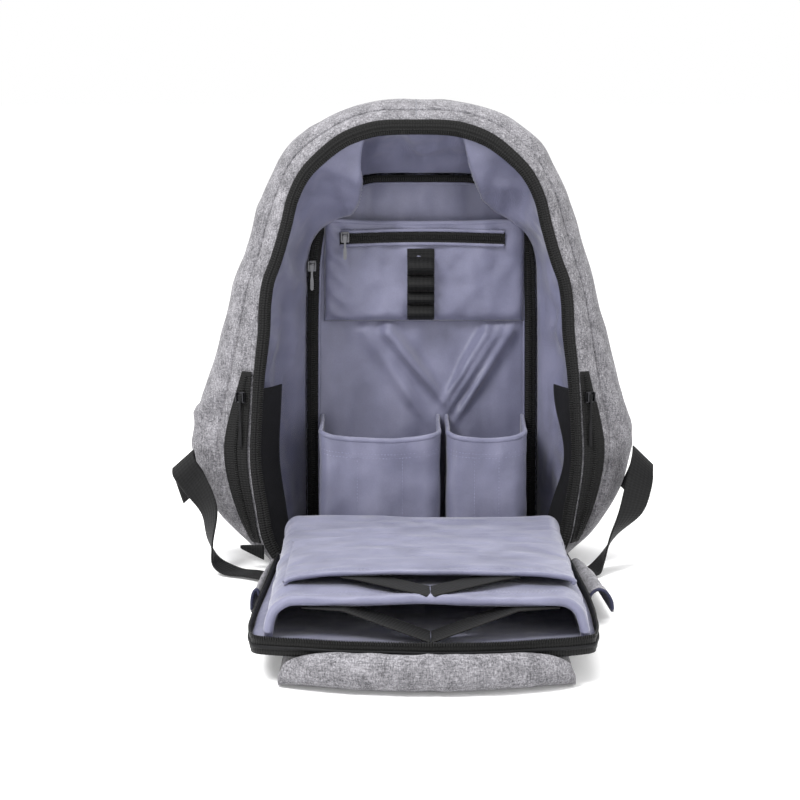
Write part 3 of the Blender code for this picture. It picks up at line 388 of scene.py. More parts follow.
def metal_finish(name, tint, roughness):
    made = finish(name, roughness, metallic=1.0)
    scratch = speckle(made, (300, 300, 1500), 4.0)
    dark = tuple(part * 0.75 for part in tint)
    colour = ramp(made, scratch, [(0.3, dark), (0.7, tint)])
    worn = add(made, "ShaderNodeMapRange", {0: scratch, 3: roughness - 0.08, 4: roughness + 0.12}).outputs[0]
    return use(made, colour, scratch, 0.0001, worn)


# Looks: a finish and the name of a slot
HEATHER = (heather_finish(), "shell_fabric")
LAVENDER = (lining_finish(), "lining_fabric")
BLACK = (black_finish("black_nylon", (0.0035, 0.0035, 0.0040), 0.65, 700), "black_fabric")
NAVY = (black_finish("navy_nylon_and_painted_shade", (0.016, 0.017, 0.032), 0.7, 700), "black_fabric")
MESH = (mesh_finish(), "black_fabric")
TAPE = (ribbed_finish("black_zip_tape", (0.0035, 0.0035, 0.0035), 0.65, 0.0012, 0.0004), "zip_tape")
COIL = (black_finish("black_zip_coil", (0.0060, 0.0060, 0.0060), 0.4, 900), "zip_tape")
WEBBING = (ribbed_finish("black_webbing", (0.0040, 0.0040, 0.0042), 0.65, 0.0013, 0.0002), "webbing")
STEEL = (metal_finish("brushed_steel", (0.17, 0.17, 0.18), 0.4), "metal")
GUNMETAL = (metal_finish("dark_metal", (0.05, 0.05, 0.055), 0.35), "metal")
GREY_THREAD = (black_finish("grey_thread", (0.10, 0.10, 0.11), 0.8, 900), "shell_fabric")
LAVENDER_THREAD = (black_finish("lavender_thread", (0.14, 0.14, 0.20), 0.8, 900), "lining_fabric")
BLACK_THREAD = (black_finish("black_thread", (0.012, 0.012, 0.012), 0.7, 900), "zip_tape")
LOOP_THREAD = (BLACK_THREAD[0], "black_fabric")
PEN_BAND = (WEBBING[0], "black_fabric")
BINDING = (BLACK[0], "zip_tape")
PULL_CORD = (BLACK[0], "metal")


# Curves and surfaces


def interp_smooth(knots, values, at):
    """Values at several places on the smooth curve through values at the knots."""
    knots = np.asarray(knots, float)
    values = np.asarray(values, float)
    at = np.atleast_1d(at)
    slopes = np.gradient(values, knots, axis=0)
    k = np.clip(np.searchsorted(knots, at) - 1, 0, len(knots) - 2)
    width = knots[k + 1] - knots[k]
    shape = (-1,) + (1,) * (values.ndim - 1)
    t = ((at - knots[k]) / width).reshape(shape)
    width = width.reshape(shape)
    rise = values[k + 1] - values[k]
    start = slopes[k] * width
    end = slopes[k + 1] * width
    return values[k] + start * t + (3 * rise - 2 * start - end) * t**2 + (start + end - 2 * rise) * t**3


def even(count):
    """Equal steps from 0 to 1."""
    return np.linspace(0.0, 1.0, count)


def run_length(points):
    steps = np.linalg.norm(np.diff(points[:, :3], axis=0), axis=1)
    return np.concatenate([[0.0], np.cumsum(steps)])


def curve_through(points, count):
    """Points at equal steps along the smooth curve through the given points."""
    points = np.asarray(points, float)
    knots = run_length(points)
    dense = interp_smooth(knots, points, np.linspace(0.0, knots[-1], 24 * len(points)))
    along = run_length(dense)
    at = np.linspace(0.0, along[-1], count)
    return np.column_stack([np.interp(at, along, dense[:, k]) for k in range(points.shape[1])])


def mirrored_outline(shape, half, top, foot, count=RING):
    right = [(half * wide, foot + (top - foot) * high) for high, wide in shape]
    left = [(-across, up) for across, up in right[:-1]]
    return curve_through(left + right[::-1], count)


def inset(outline, distance):
    """The outline moved in towards its own middle by a distance, which may vary along it."""
    tangent = np.gradient(outline, axis=0)
    tangent /= np.linalg.norm(tangent, axis=1)[:, None]
    inward = np.column_stack([tangent[:, 1], -tangent[:, 0]])
    moved = outline + inward * np.broadcast_to(distance, len(outline))[:, None]
    moved[0, 1] = outline[0, 1]
    moved[-1, 1] = outline[-1, 1]
    return moved


def mouth_y(height):
    return RIM_Y + RIM_LEAN * height / BODY_HEIGHT


def divider_y(height):
    share = height / DIVIDER_HEIGHT
    return mouth_y(height) + DIVIDER_DEPTH_FOOT + (DIVIDER_DEPTH_TOP - DIVIDER_DEPTH_FOOT) * share


def divider_face(height):
    return divider_y(height) - GAP - TAPE_WALL


def panel_under(along):
    return PANEL_FOOT + (PANEL_RAISE - PANEL_FOOT) * along / PANEL_LENGTH


def panel_top(along):
    return panel_under(along) + PANEL_WALL


def lumps(points, size, seed, detail=1):
    """Smooth noise from -1 to 1 at each point, with lumps of about the size in metres."""
    flat = np.asarray(points, float).reshape(-1, 3) / size + seed
    value = np.array([noise.noise(Vector(point)) for point in flat])
    if detail > 1:
        value += 0.5 * np.array([noise.noise(Vector(point * 2.1 + 7.3)) for point in flat])
    return value.reshape(np.asarray(points).shape[:-1])


def facing_normals(grid, facing):
    """Unit normals of a grid, turned to look in the direction on the whole, and whether they were turned."""
    normal = np.cross(np.gradient(grid, axis=1), np.gradient(grid, axis=0))
    length = np.linalg.norm(normal, axis=2)
    turned = (normal @ np.asarray(facing, float)).sum() < 0
    normal = normal / np.maximum(length, 1e-12)[:, :, None]
    return (-normal if turned else normal), turned


def fix_normals(normal):
    """Fills in normals that came out as nothing from their neighbours in the next row."""
    size = np.linalg.norm(normal, axis=2)
    for row in range(len(normal) - 2, -1, -1):
        lost = size[row] < 0.5
        normal[row][lost] = normal[row + 1][lost]
    return normal


def bump_near(at, middle, width):
    return np.exp(-(((at - middle) / width) ** 2))


# Meshes


def make_piece(name, verts, faces, look, body="root", replaces=(), uv=None, smooth=True, sharp=None):
    """A piece on its body, with its look, its UVs and the nodes that it stands for."""
    material, slot = look
    mesh = bpy.data.meshes.new(name)
    mesh.from_pydata(np.asarray(verts, float).tolist(), [], [list(map(int, face)) for face in faces])
    if uv is not None:
        layer = mesh.uv_layers.new(name="run")
        index = np.empty(len(mesh.loops), int)
        mesh.loops.foreach_get("vertex_index", index)
        layer.data.foreach_set("uv", np.asarray(uv, float)[index].ravel())
    if smooth:
        mesh.shade_smooth()
    if sharp is not None:
        mesh.set_sharp_from_angle(angle=math.radians(sharp))
    mesh.materials.append(material)
    made = bpy.data.objects.new(name, mesh)
    bpy.context.collection.objects.link(made)
    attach(made, body)
    if replaces:
        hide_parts(*replaces)
    return made


def cloth(name, grid, wall, look, facing, replaces=(), body="root", edge=0.35):
    """A closed cloth piece: the grid is its face, and its wall lies behind, with rounded edges."""
    grid = np.asarray(grid, float)
    normal, turned = facing_normals(grid, facing)
    normal = fix_normals(normal)
    wall = np.broadcast_to(wall, grid.shape[:2])[:, :, None]
    back = grid - normal * wall
    rows, cols = grid.shape[:2]
    index = np.arange(rows * cols).reshape(rows, cols)
    quads = np.stack([index[:-1, :-1], index[:-1, 1:], index[1:, 1:], index[1:, :-1]], axis=-1).reshape(-1, 4)
    rim = np.concatenate([index[0, :], index[1:, -1], index[-1, -2::-1], index[-2:0:-1, 0]])
    row, col = np.divmod(rim, cols)
    inner_row = np.clip(row, 1, rows - 2)
    inner_col = np.clip(col, 1, cols - 2)
    out = grid[row, col] - grid[inner_row, inner_col]
    out /= np.maximum(np.linalg.norm(out, axis=1), 1e-9)[:, None]
    middle = (grid[row, col] + back[row, col]) / 2 + out * wall[row, col] * edge
    count = rows * cols
    verts = np.concatenate([grid.reshape(-1, 3), back.reshape(-1, 3), middle])
    ring = np.arange(len(rim))
    after = np.roll(ring, -1)
    outer = np.stack([rim[after], rim[ring], 2 * count + ring, 2 * count + after], axis=-1)
    inner = np.stack([2 * count + after, 2 * count + ring, count + rim[ring], count + rim[after]], axis=-1)
    faces = np.concatenate([quads, quads[:, ::-1] + count, outer, inner])
    if turned:
        faces = faces[:, ::-1]
    across = run_length(grid[rows // 2])
    along = run_length(grid[:, cols // 2])
    uv = np.stack(np.meshgrid(across, along), axis=-1).reshape(-1, 2)
    uv = np.concatenate([uv, uv, uv[rim]])
    return make_piece(name, verts, faces, look, body, replaces, uv)


def on_patch(grid, normal, rows, cols, lift=0.0):
    """Points and normals at fractional rows and columns of a grid."""
    rows = np.clip(np.asarray(rows, float), 0, grid.shape[0] - 1.001)
    cols = np.clip(np.asarray(cols, float), 0, grid.shape[1] - 1.001)
    r = rows.astype(int)
    c = cols.astype(int)
    fr = (rows - r)[:, None]
    fc = (cols - c)[:, None]

    def mixed(field):
        low = field[r, c] * (1 - fc) + field[r, c + 1] * fc
        high = field[r + 1, c] * (1 - fc) + field[r + 1, c + 1] * fc
        return low * (1 - fr) + high * fr

    ups = mixed(normal)
    ups /= np.maximum(np.linalg.norm(ups, axis=1), 1e-9)[:, None]
    return mixed(grid) + ups * lift, ups


def trail(grid, facing, rows, cols, lift=0.0, count=200):
    """A line over a grid from one place to another, given as shares of its rows and columns."""
    normal = fix_normals(facing_normals(grid, facing)[0])
    share = even(count)
    at_rows = np.interp(share, np.linspace(0, 1, len(rows)), rows) * (grid.shape[0] - 1)
    at_cols = np.interp(share, np.linspace(0, 1, len(cols)), cols) * (grid.shape[1] - 1)
    return on_patch(grid, normal, at_rows, at_cols, lift)


OCTA_VERTS = ((1, 0, 0), (0, 1, 0), (-1, 0, 0), (0, -1, 0), (0, 0, 1), (0, 0, -1))
OCTA_FACES = ((0, 1, 4), (1, 2, 4), (2, 3, 4), (3, 0, 4), (1, 0, 5), (2, 1, 5), (3, 2, 5), (0, 3, 5))
TOOTH_VERTS = (
    (-1, -1, -1), (1, -1, -1), (1, 1, -1), (-1, 1, -1),
    (-0.6, -0.8, 1), (0.6, -0.8, 1), (0.6, 0.8, 1), (-0.6, 0.8, 1),
)
TOOTH_FACES = ((0, 3, 2, 1), (4, 5, 6, 7), (0, 1, 5, 4), (1, 2, 6, 5), (2, 3, 7, 6), (3, 0, 4, 7))


def bars(name, trails, pitch, size, look, teeth=False):
    """One piece of small bars along lines: stitches, or the teeth of a zip. size is along, across, high."""
    base = np.array(TOOTH_VERTS if teeth else OCTA_VERTS, float) * np.array(size) / 2
    pattern = TOOTH_FACES if teeth else OCTA_FACES
    verts = []
    faces = []
    for points, ups in trails:
        run = run_length(points)
        count = max(2, int(run[-1] / pitch))
        at = (np.arange(count) + 0.5) * run[-1] / count
        tangent = np.gradient(points, axis=0)
        tangent /= np.maximum(np.linalg.norm(tangent, axis=1), 1e-12)[:, None]
        centre = np.column_stack([np.interp(at, run, points[:, k]) for k in range(3)])
        ahead = np.column_stack([np.interp(at, run, tangent[:, k]) for k in range(3)])
        up = np.column_stack([np.interp(at, run, ups[:, k]) for k in range(3)])
        side = np.cross(up, ahead)
        side /= np.maximum(np.linalg.norm(side, axis=1), 1e-12)[:, None]
        ahead = np.cross(side, up)
        for k in range(count):
            start = len(verts)
            placed = centre[k] + base @ np.array([ahead[k], side[k], up[k]])
            verts.extend(placed)
            faces.extend([[start + i for i in face] for face in pattern])
    return make_piece(name, verts, faces, look, smooth=not teeth)


def closed_faces(count, sides):
    """Faces between rings of points, with both ends closed."""
    index = np.arange(count * sides).reshape(count, sides)
    nxt = np.roll(index, -1, axis=1)
    quads = np.stack([index[:-1], nxt[:-1], nxt[1:], index[1:]], axis=-1).reshape(-1, 4)
    return [list(face) for face in quads] + [list(index[0][::-1]), list(index[-1])]


def tube_mesh(points, ups, wide, high, sides=10):
    """Verts and faces of a rounded roll along a line. wide and high may vary along it."""
    points = np.asarray(points, float)
    wide = np.broadcast_to(wide, len(points)).astype(float).copy()
    high = np.broadcast_to(high, len(points)).astype(float).copy()
    wide[[0, -1]] *= 0.35
    high[[0, -1]] *= 0.35
    tangent = np.gradient(points, axis=0)
    side = np.cross(ups, tangent)
    side /= np.maximum(np.linalg.norm(side, axis=1), 1e-12)[:, None]
    angle = np.arange(sides) * 2 * math.pi / sides
    ring = points[:, None] + side[:, None] * (np.cos(angle)[None, :, None] * wide[:, None, None] / 2)
    ring = ring + np.asarray(ups)[:, None] * (np.sin(angle)[None, :, None] * high[:, None, None] / 2)
    return ring.reshape(-1, 3), closed_faces(len(points), sides)


def roll(name, line, wide, high, look, sides=10):
    """A rounded roll along a line of points and ups: a hem, a binding or a piping."""
    points, ups = line
    verts, faces = tube_mesh(points, ups, wide, high, sides)
    run = run_length(points)
    uv = np.stack(np.meshgrid(np.linspace(0, wide, sides), run), axis=-1)
    return make_piece(name, verts, faces, look, uv=uv.reshape(-1, 2))


def stitches(name, trails, look=GREY_THREAD, pitch=0.0032):
    return bars(name, trails, pitch, (0.0026, 0.0007, 0.0007), look)


def coil(name, line):
    """Teeth of a zip along a line."""
    return bars(name, [line], 0.0021, (0.0012, 0.0034, 0.0016), COIL, teeth=True)


# Shell


def body_surface(shares):
    """Grid of the shell's outside: a row for each share of the side depth, left foot to right foot."""
    rim = mirrored_outline(RIM_SHAPE, RIM_HALF_WIDTH, RIM_HEIGHT, FOOT)
    side = mirrored_outline(SIDE_SHAPE, BODY_HALF_WIDTH, BODY_HEIGHT, FOOT)
    side[:, 0] -= BODY_SIDE_SHIFT * (side[:, 0] / BODY_HALF_WIDTH) ** 4
    front = mirrored_outline(FRONT_SHAPE, FRONT_HALF_WIDTH, FRONT_HEIGHT, FOOT)
    rings = []
    for _, to_side, to_front in BODY_SECTIONS:
        middle = rim + (side - rim) * to_side
        rings.append(middle + (front - middle) * to_front)
    flat = interp_smooth([row[0] for row in BODY_SECTIONS], rings, shares)
    x = flat[:, :, 0]
    z = flat[:, :, 1]
    depth = SIDE_DEPTH_FOOT + (SIDE_DEPTH_TOP - SIDE_DEPTH_FOOT) * z / BODY_HEIGHT
    y = mouth_y(z) + np.asarray(shares)[:, None] * depth
    return np.stack([x, y, z], axis=-1)


# Creases of the shell: x and z of the middle, slope, half length, half width, how far it stands out
BODY_CREASES = (
    (-0.200, 0.158, 0.9, 0.022, 0.006, 0.0065),
    (-0.190, 0.140, -0.6, 0.024, 0.007, -0.0055),
    (-0.185, 0.200, 1.6, 0.022, 0.009, 0.0028),
    (-0.130, 0.330, 1.2, 0.030, 0.008, 0.0022),
    (0.195, 0.150, -0.9, 0.020, 0.007, 0.0036),
    (0.185, 0.128, 0.5, 0.020, 0.008, -0.0034),
    (0.172, 0.215, -1.5, 0.022, 0.009, 0.0026),
    (0.120, 0.345, -1.2, 0.030, 0.008, 0.0022),
)
SEAM = 0.10
BACK_SEAM = 0.965


def wrinkled_shell(shares):
    """The shell's grid with its seams pulled in, puckers beside them, and soft creases."""
    grid = body_surface(shares)
    normal, _ = facing_normals(grid, (0, -0.3, 0.3))
    middle = grid.shape[1] // 2
    if normal[len(shares) // 2, middle, 2] < 0:
        normal = -normal
    at = np.asarray(shares)[:, None]
    ring = np.linspace(0.0, 1.27, grid.shape[1])[None, :]
    seam = 0.0019 * (bump_near(at, SEAM, 0.006) + bump_near(at, BACK_SEAM, 0.006))
    near = bump_near(at, SEAM, 0.05) + bump_near(at, BACK_SEAM, 0.05)
    pucker = 0.00035 * np.sin(ring * 560 + 5 * np.sin(ring * 37)) * near
    soft = 0.0016 * lumps(grid, 0.06, 3.1, 2) * np.clip(at / 0.06, 0.15, 1.0)
    sharp = 1.0 - 3.0 * np.abs(lumps(grid * np.array([1.0, 0.4, 1.0]), 0.045, 4.4, 1))
    soft = soft + 0.0009 * np.maximum(sharp, 0.0) * np.clip((at - SEAM) / 0.05, 0.0, 1.0)
    puffed = 0.0015 * np.sin(np.clip((at - SEAM) / (BACK_SEAM - SEAM), 0, 1) * math.pi)
    strip = 0.0012 * np.sin(np.clip(at / SEAM, 0, 1) * math.pi)
    crease = np.zeros(grid.shape[:2])
    for x, z, slope, length, width, height in BODY_CREASES:
        across = grid[:, :, 0] - x
        up = grid[:, :, 2] - z - slope * across
        crease += height * np.exp(-((up / width) ** 2) - (across / length) ** 2)
    crease *= np.clip((at - SEAM) / 0.05, 0.0, 1.0) * np.clip((BACK_SEAM - at) / 0.1, 0.0, 1.0)
    return grid + normal * (pucker + soft + puffed + strip + crease - seam)[:, :, None]


def shell():
    """The two side panels of the body, which meet over the top, and their stitches and top seam."""
    shares = np.concatenate([
        np.linspace(0.0, 0.088, 12), np.linspace(0.092, 0.108, 7), np.linspace(0.112, 0.2, 9),
        np.linspace(0.215, 0.94, 46), np.linspace(0.95, 1.0, 10),
    ])
    grid = wrinkled_shell(shares)
    middle = grid.shape[1] // 2
    for side, name in ((1, "right"), (-1, "left")):
        half = grid[:, middle:] if side > 0 else grid[:, : middle + 1]
        half = half.copy()
        half[:, 0 if side > 0 else -1, 0] = side * GAP
        cloth(
            "shell_side_" + name, half, SHELL_WALL, HEATHER, (side, 0, 0.5),
            ["side_panel_" + name],
        )
    lines = []
    for share in (SEAM - 0.013, SEAM + 0.014, BACK_SEAM - 0.03, 0.012):
        row = np.interp(share, shares, np.arange(len(shares))) / (len(shares) - 1)
        lines.append(trail(grid, (0, 0, 0), (row, row), (0.0, 1.0), 0.0, 900))
    stitches("shell_stitching", lines)
    top = trail(grid, (0, 0, 0), (0.02, 0.98), (0.5, 0.5), 0.0, 120)
    roll("shell_top_seam", (top[0] - top[1] * 0.0006, top[1]), 0.0016, 0.0018, GREY_THREAD)


def shell_front():
    """The crowned far side of the body, with its piping."""
    edge = body_surface([1.0])[0]
    edge[:, 1] += SHELL_WALL + GAP
    spine = edge.copy()
    half = RING // 2 + 1
    spine[:, 0] = 0.0
    spine[:, 2] = np.minimum(edge[:, 2], FRONT_SPINE_TOP)
    spine[:, 1] = np.interp(spine[:, 2], edge[:half, 2], edge[:half, 1])
    shares = np.linspace(1.0, 0.0, 40)
    rows = []
    for share in shares:
        row = spine + (edge - spine) * share
        row[:, 1] += FRONT_CROWN * (1 - share**2)
        rows.append(row)
    grid = np.array(rows)
    soft = 0.0018 * lumps(grid, 0.09, 5.7, 2) * (1 - shares**4)[:, None]
    seam = 0.0010 * bump_near(shares, 0.86, 0.012)[:, None]
    grid[:, :, 1] += soft - seam
    cloth("shell_front", grid, SHELL_WALL, HEATHER, (0, 1, 0), ["front_panel"])
    lines = []
    for share in (0.89, 0.83):
        row = 1.0 - share
        lines.append(trail(grid, (0, 1, 0), (row, row), (0.0, 1.0), 0.0, 900))
    stitches("front_stitching", lines)
    points = body_surface([1.0])[0]
    points[:, 1] += SHELL_WALL * 0.5
    ups = np.zeros_like(points)
    ups[:, 1] = 1.0
    roll("front_piping", (points, ups), 0.0042, 0.0036, HEATHER)


def shell_base():
    """The flat base."""
    grid = body_surface(even(24))
    foot = grid[:, -1, :2]
    front_x, front_y = foot[-1]
    rows = [(foot[0][0] * 0.86, RIM_Y - 0.020), (foot[0][0] * 0.95, RIM_Y)] + [tuple(p) for p in foot]
    front_y += SHELL_WALL + GAP
    crown = [(front_x * s, front_y + FRONT_CROWN * (1 - s**2)) for s in np.linspace(1, 0.04, 16)]
    edge = np.array(rows + crown)
    wide = []
    for x, y in edge:
        wide.append([(x * share, y, 0.0035) for share in np.linspace(-1.0, 1.0, 41)])
    grid = np.array(wide)
    cloth("shell_base", grid, 0.0035, HEATHER, UP, ["base_panel"], edge=0.2)


# Mouth


def tape_width(shares):
    along = np.abs(shares * 2 - 1)
    width = 0.0135 + (0.0105 - 0.0135) * np.clip(along / 0.5, 0.0, 1.0)
    return width * (1.0 + 0.08 * np.sin(along * 15.0))


def mouth():
    """The wide zip tape round the mouth, with its teeth along the inner edge."""
    rim = mirrored_outline(RIM_SHAPE, RIM_HALF_WIDTH, RIM_HEIGHT, FOOT, 601)
    width = tape_width(even(601))
    rows = []
    for share in even(13):
        flat = inset(rim, 0.0005 + width * share)
        ridge = 0.0009 * bump_near(share, 0.42, 0.10) + 0.0004 * (share < 0.3)
        y = mouth_y(flat[:, 1]) - GAP - TAPE_WALL - ridge
        rows.append(np.column_stack([flat[:, 0], y, flat[:, 1]]))
    grid = np.array(rows)
    cloth("mouth_zip_tape", grid, TAPE_WALL, TAPE, AHEAD, ["main_zip_tape"])
    line = trail(grid, AHEAD, (0.88, 0.88), (0.0, 1.0), 0.0005, 1200)
    coil("mouth_zip_coil", line)
    lines = [trail(grid, AHEAD, (row, row), (0.0, 1.0), 0.0, 1200) for row in (0.2, 0.68)]
    stitches("mouth_stitching", lines, BLACK_THREAD)


def divider_outline(distance, count=RING):
    outline = mirrored_outline(DIVIDER_SHAPE, DIVIDER_HALF_WIDTH, DIVIDER_HEIGHT, FOOT, count)
    moved = inset(outline, distance)
    moved[:, 0] += DIVIDER_SHIFT
    return moved


# Folds of the lining: place round the mouth at its start and at its end as shares, how far it stands in,
# how far it spreads towards the left foot and towards the right foot
LINING_RIDGES = (
    (0.446, 0.372, 0.046, 0.036, 0.011),
    (0.548, 0.622, 0.042, 0.012, 0.036),
    (0.655, 0.640, 0.009, 0.020, 0.030),
    (0.300, 0.285, 0.008, 0.025, 0.015),
    (0.200, 0.230, 0.007, 0.020, 0.022),
    (0.780, 0.760, 0.008, 0.020, 0.018),
    (0.505, 0.500, 0.006, 0.016, 0.016),
)


def lining():
    """The lining from the mouth to the divider, with folds that stand in over the divider's corners."""
    rim = mirrored_outline(RIM_SHAPE, RIM_HALF_WIDTH, RIM_HEIGHT, FOOT)
    start = inset(rim, 0.0049)
    end = divider_outline(-0.0008)
    start_y = mouth_y(start[:, 1]) + GAP
    end_y = divider_y(end[:, 1])
    round_share = even(RING)
    turn = round_share * math.pi * 7
    rows = []
    for share in even(57):
        flat = start + (end - start) * share
        belly = math.sin(math.pi * share)
        push = belly * (0.010 - 0.004 * np.sin(turn))
        for at_mouth, at_end, height, before, after in LINING_RIDGES:
            at = at_mouth + (at_end - at_mouth) * share
            off = (round_share - at) * 1.15
            spread = np.where(off < 0, before, after)
            push = push - height * belly**0.6 * np.exp(-((np.abs(off) / spread) ** 1.6))
        push *= np.clip(flat[:, 1] / 0.070, 0.0, 1.0)
        flat = inset(flat, -push)
        flat[[0, -1], 1] += 0.001
        rows.append(np.column_stack([flat[:, 0], start_y + (end_y - start_y) * share, flat[:, 1]]))
    grid = np.array(rows)
    normal, _ = facing_normals(grid, (0, 0, -1))
    fade = np.sin(np.linspace(0, math.pi, 57))[:, None] * np.clip(grid[:, :, 2] / 0.05, 0, 1)
    soft = 0.0032 * lumps(grid, 0.035, 2.2, 2)
    sharp = 1.0 - 2.0 * np.abs(lumps(grid * np.array([1.0, 0.35, 0.5]), 0.024, 5.2, 1))
    grid = grid + normal * ((soft + 0.0030 * sharp) * fade)[:, :, None]
    nodes = ["lining_left", "lining_top", "lining_right"]
    piece = cloth("lining_body", grid, 0.001, LAVENDER, (0, 0, -1), nodes)


def gussets():
    """The black cloth in the mouth's lower corners."""
    rim = mirrored_outline(RIM_SHAPE, RIM_HALF_WIDTH, RIM_HEIGHT, FOOT)
    start = inset(rim, 0.0049)[RING // 2 :]
    order = np.argsort(start[:, 1])
    for side, name, reach in ((-1, "left", LEFT_GUSSET_REACH), (1, "right", RIGHT_GUSSET_REACH)):
        heights = np.linspace(FOOT + 0.0015, FOOT + 0.0015 + GUSSET_HEIGHT, 60)
        edge = np.interp(heights, start[order, 1], start[order, 0])
        wave = 0.004 * np.sin(np.linspace(0.0, 2.6 * math.pi, 60)) * (side > 0)
        columns = []
        for share in even(15):
            x = side * (edge - 0.0021 - (reach + wave) * share)
            ripple = 0.0009 * np.sin(heights * 150 + share * 3) * share
            y = mouth_y(heights) + GAP + 0.032 * share**1.5 + ripple
            columns.append(np.column_stack([x, y, heights]))
        piece = cloth("gusset_cloth_" + name, columns, 0.0015, BLACK, AHEAD, ["gusset_" + name])


# Divider and its pockets


def divider_folds(x, z):
    """How far the divider stands out at a place, from the folds that its load pulls in it."""
    out = np.zeros_like(x)
    for top_x, top_z, low_x, low_z, height, width in DIVIDER_FOLDS:
        run = np.array([low_x - top_x, low_z - top_z])
        length = np.linalg.norm(run)
        run = run / length
        along = (x - top_x) * run[0] + (z - top_z) * run[1]
        off = (x - top_x) * run[1] - (z - top_z) * run[0]
        fade = np.clip(along / 0.012, 0, 1) * np.clip((length + 0.02 - along) / 0.05, 0, 1)
        narrow = width * (1.0 - 0.45 * np.clip(along / length, 0, 1))
        out += height * fade * np.exp(-((off / narrow) ** 2))
    return out


def divider():
    """The divider's cloth with the folds that hang in it, its zip tape and its slider."""
    outline = mirrored_outline(DIVIDER_SHAPE, DIVIDER_HALF_WIDTH - 0.0005, DIVIDER_HEIGHT - 0.0005, FOOT)
    half = outline[RING // 2 :]
    heights = np.linspace(FOOT, DIVIDER_HEIGHT - 0.0008, 110)
    order = np.argsort(half[:, 1])
    wide = np.interp(heights, half[order, 1], half[order, 0])
    across = np.linspace(-1.0, 1.0, 101)
    x = DIVIDER_SHIFT + wide[:, None] * across[None, :]
    z = np.repeat(heights[:, None], 101, axis=1)
    grid = np.stack([x, divider_y(z), z], axis=-1)
    inside = np.clip((1 - np.abs(across)) / 0.12, 0, 1)[None, :] * np.clip((DIVIDER_HEIGHT - z) / 0.02, 0, 1)
    high = np.clip((z - 0.335) / 0.02, 0, 1)
    drape = 0.0022 * np.sin(x * 190 + 1.0) * high
    low = 0.0022 * lumps(grid, 0.05, 9.1, 2)
    grid[:, :, 1] -= inside * (divider_folds(x, z) + np.abs(low) * 0.6 + drape * 0.5 + 0.0005 * high)
    piece = cloth("divider_cloth", grid, 0.002, LAVENDER, AHEAD, ["divider_panel"])
    flat = divider_outline(0.0, 401)
    bend = np.clip((flat[:, 1] - DIVIDER_TAPE_BEND) / (DIVIDER_HEIGHT - DIVIDER_TAPE_BEND), 0.0, 1.0)
    width = DIVIDER_TAPE_WIDTH + (DIVIDER_TAPE_TOP - DIVIDER_TAPE_WIDTH) * bend
    rows = []
    for share in even(9):
        flat = divider_outline(0.001 + width * share, 401)
        ridge = 0.0007 * bump_near(share, 0.5, 0.16)
        y = divider_face(flat[:, 1]) - 0.0004 - ridge
        rows.append(np.column_stack([flat[:, 0], y, flat[:, 1]]))
    tape = np.array(rows)
    cloth("divider_tape", tape, TAPE_WALL, TAPE, AHEAD, ["divider_zip_tape"])
    coil("divider_coil", trail(tape, AHEAD, (0.5, 0.5), (0.0, 1.0), 0.0006, 900))
    edge = trail(tape, AHEAD, (1.0, 1.0), (0.0, 1.0), 0.0002, 500)
    roll("divider_tape_hem", edge, 0.0022, 0.0016, LAVENDER)
    slider("divider", "divider_pull", DIVIDER_SLIDER, 0.0, 0.026, STEEL, STEEL)


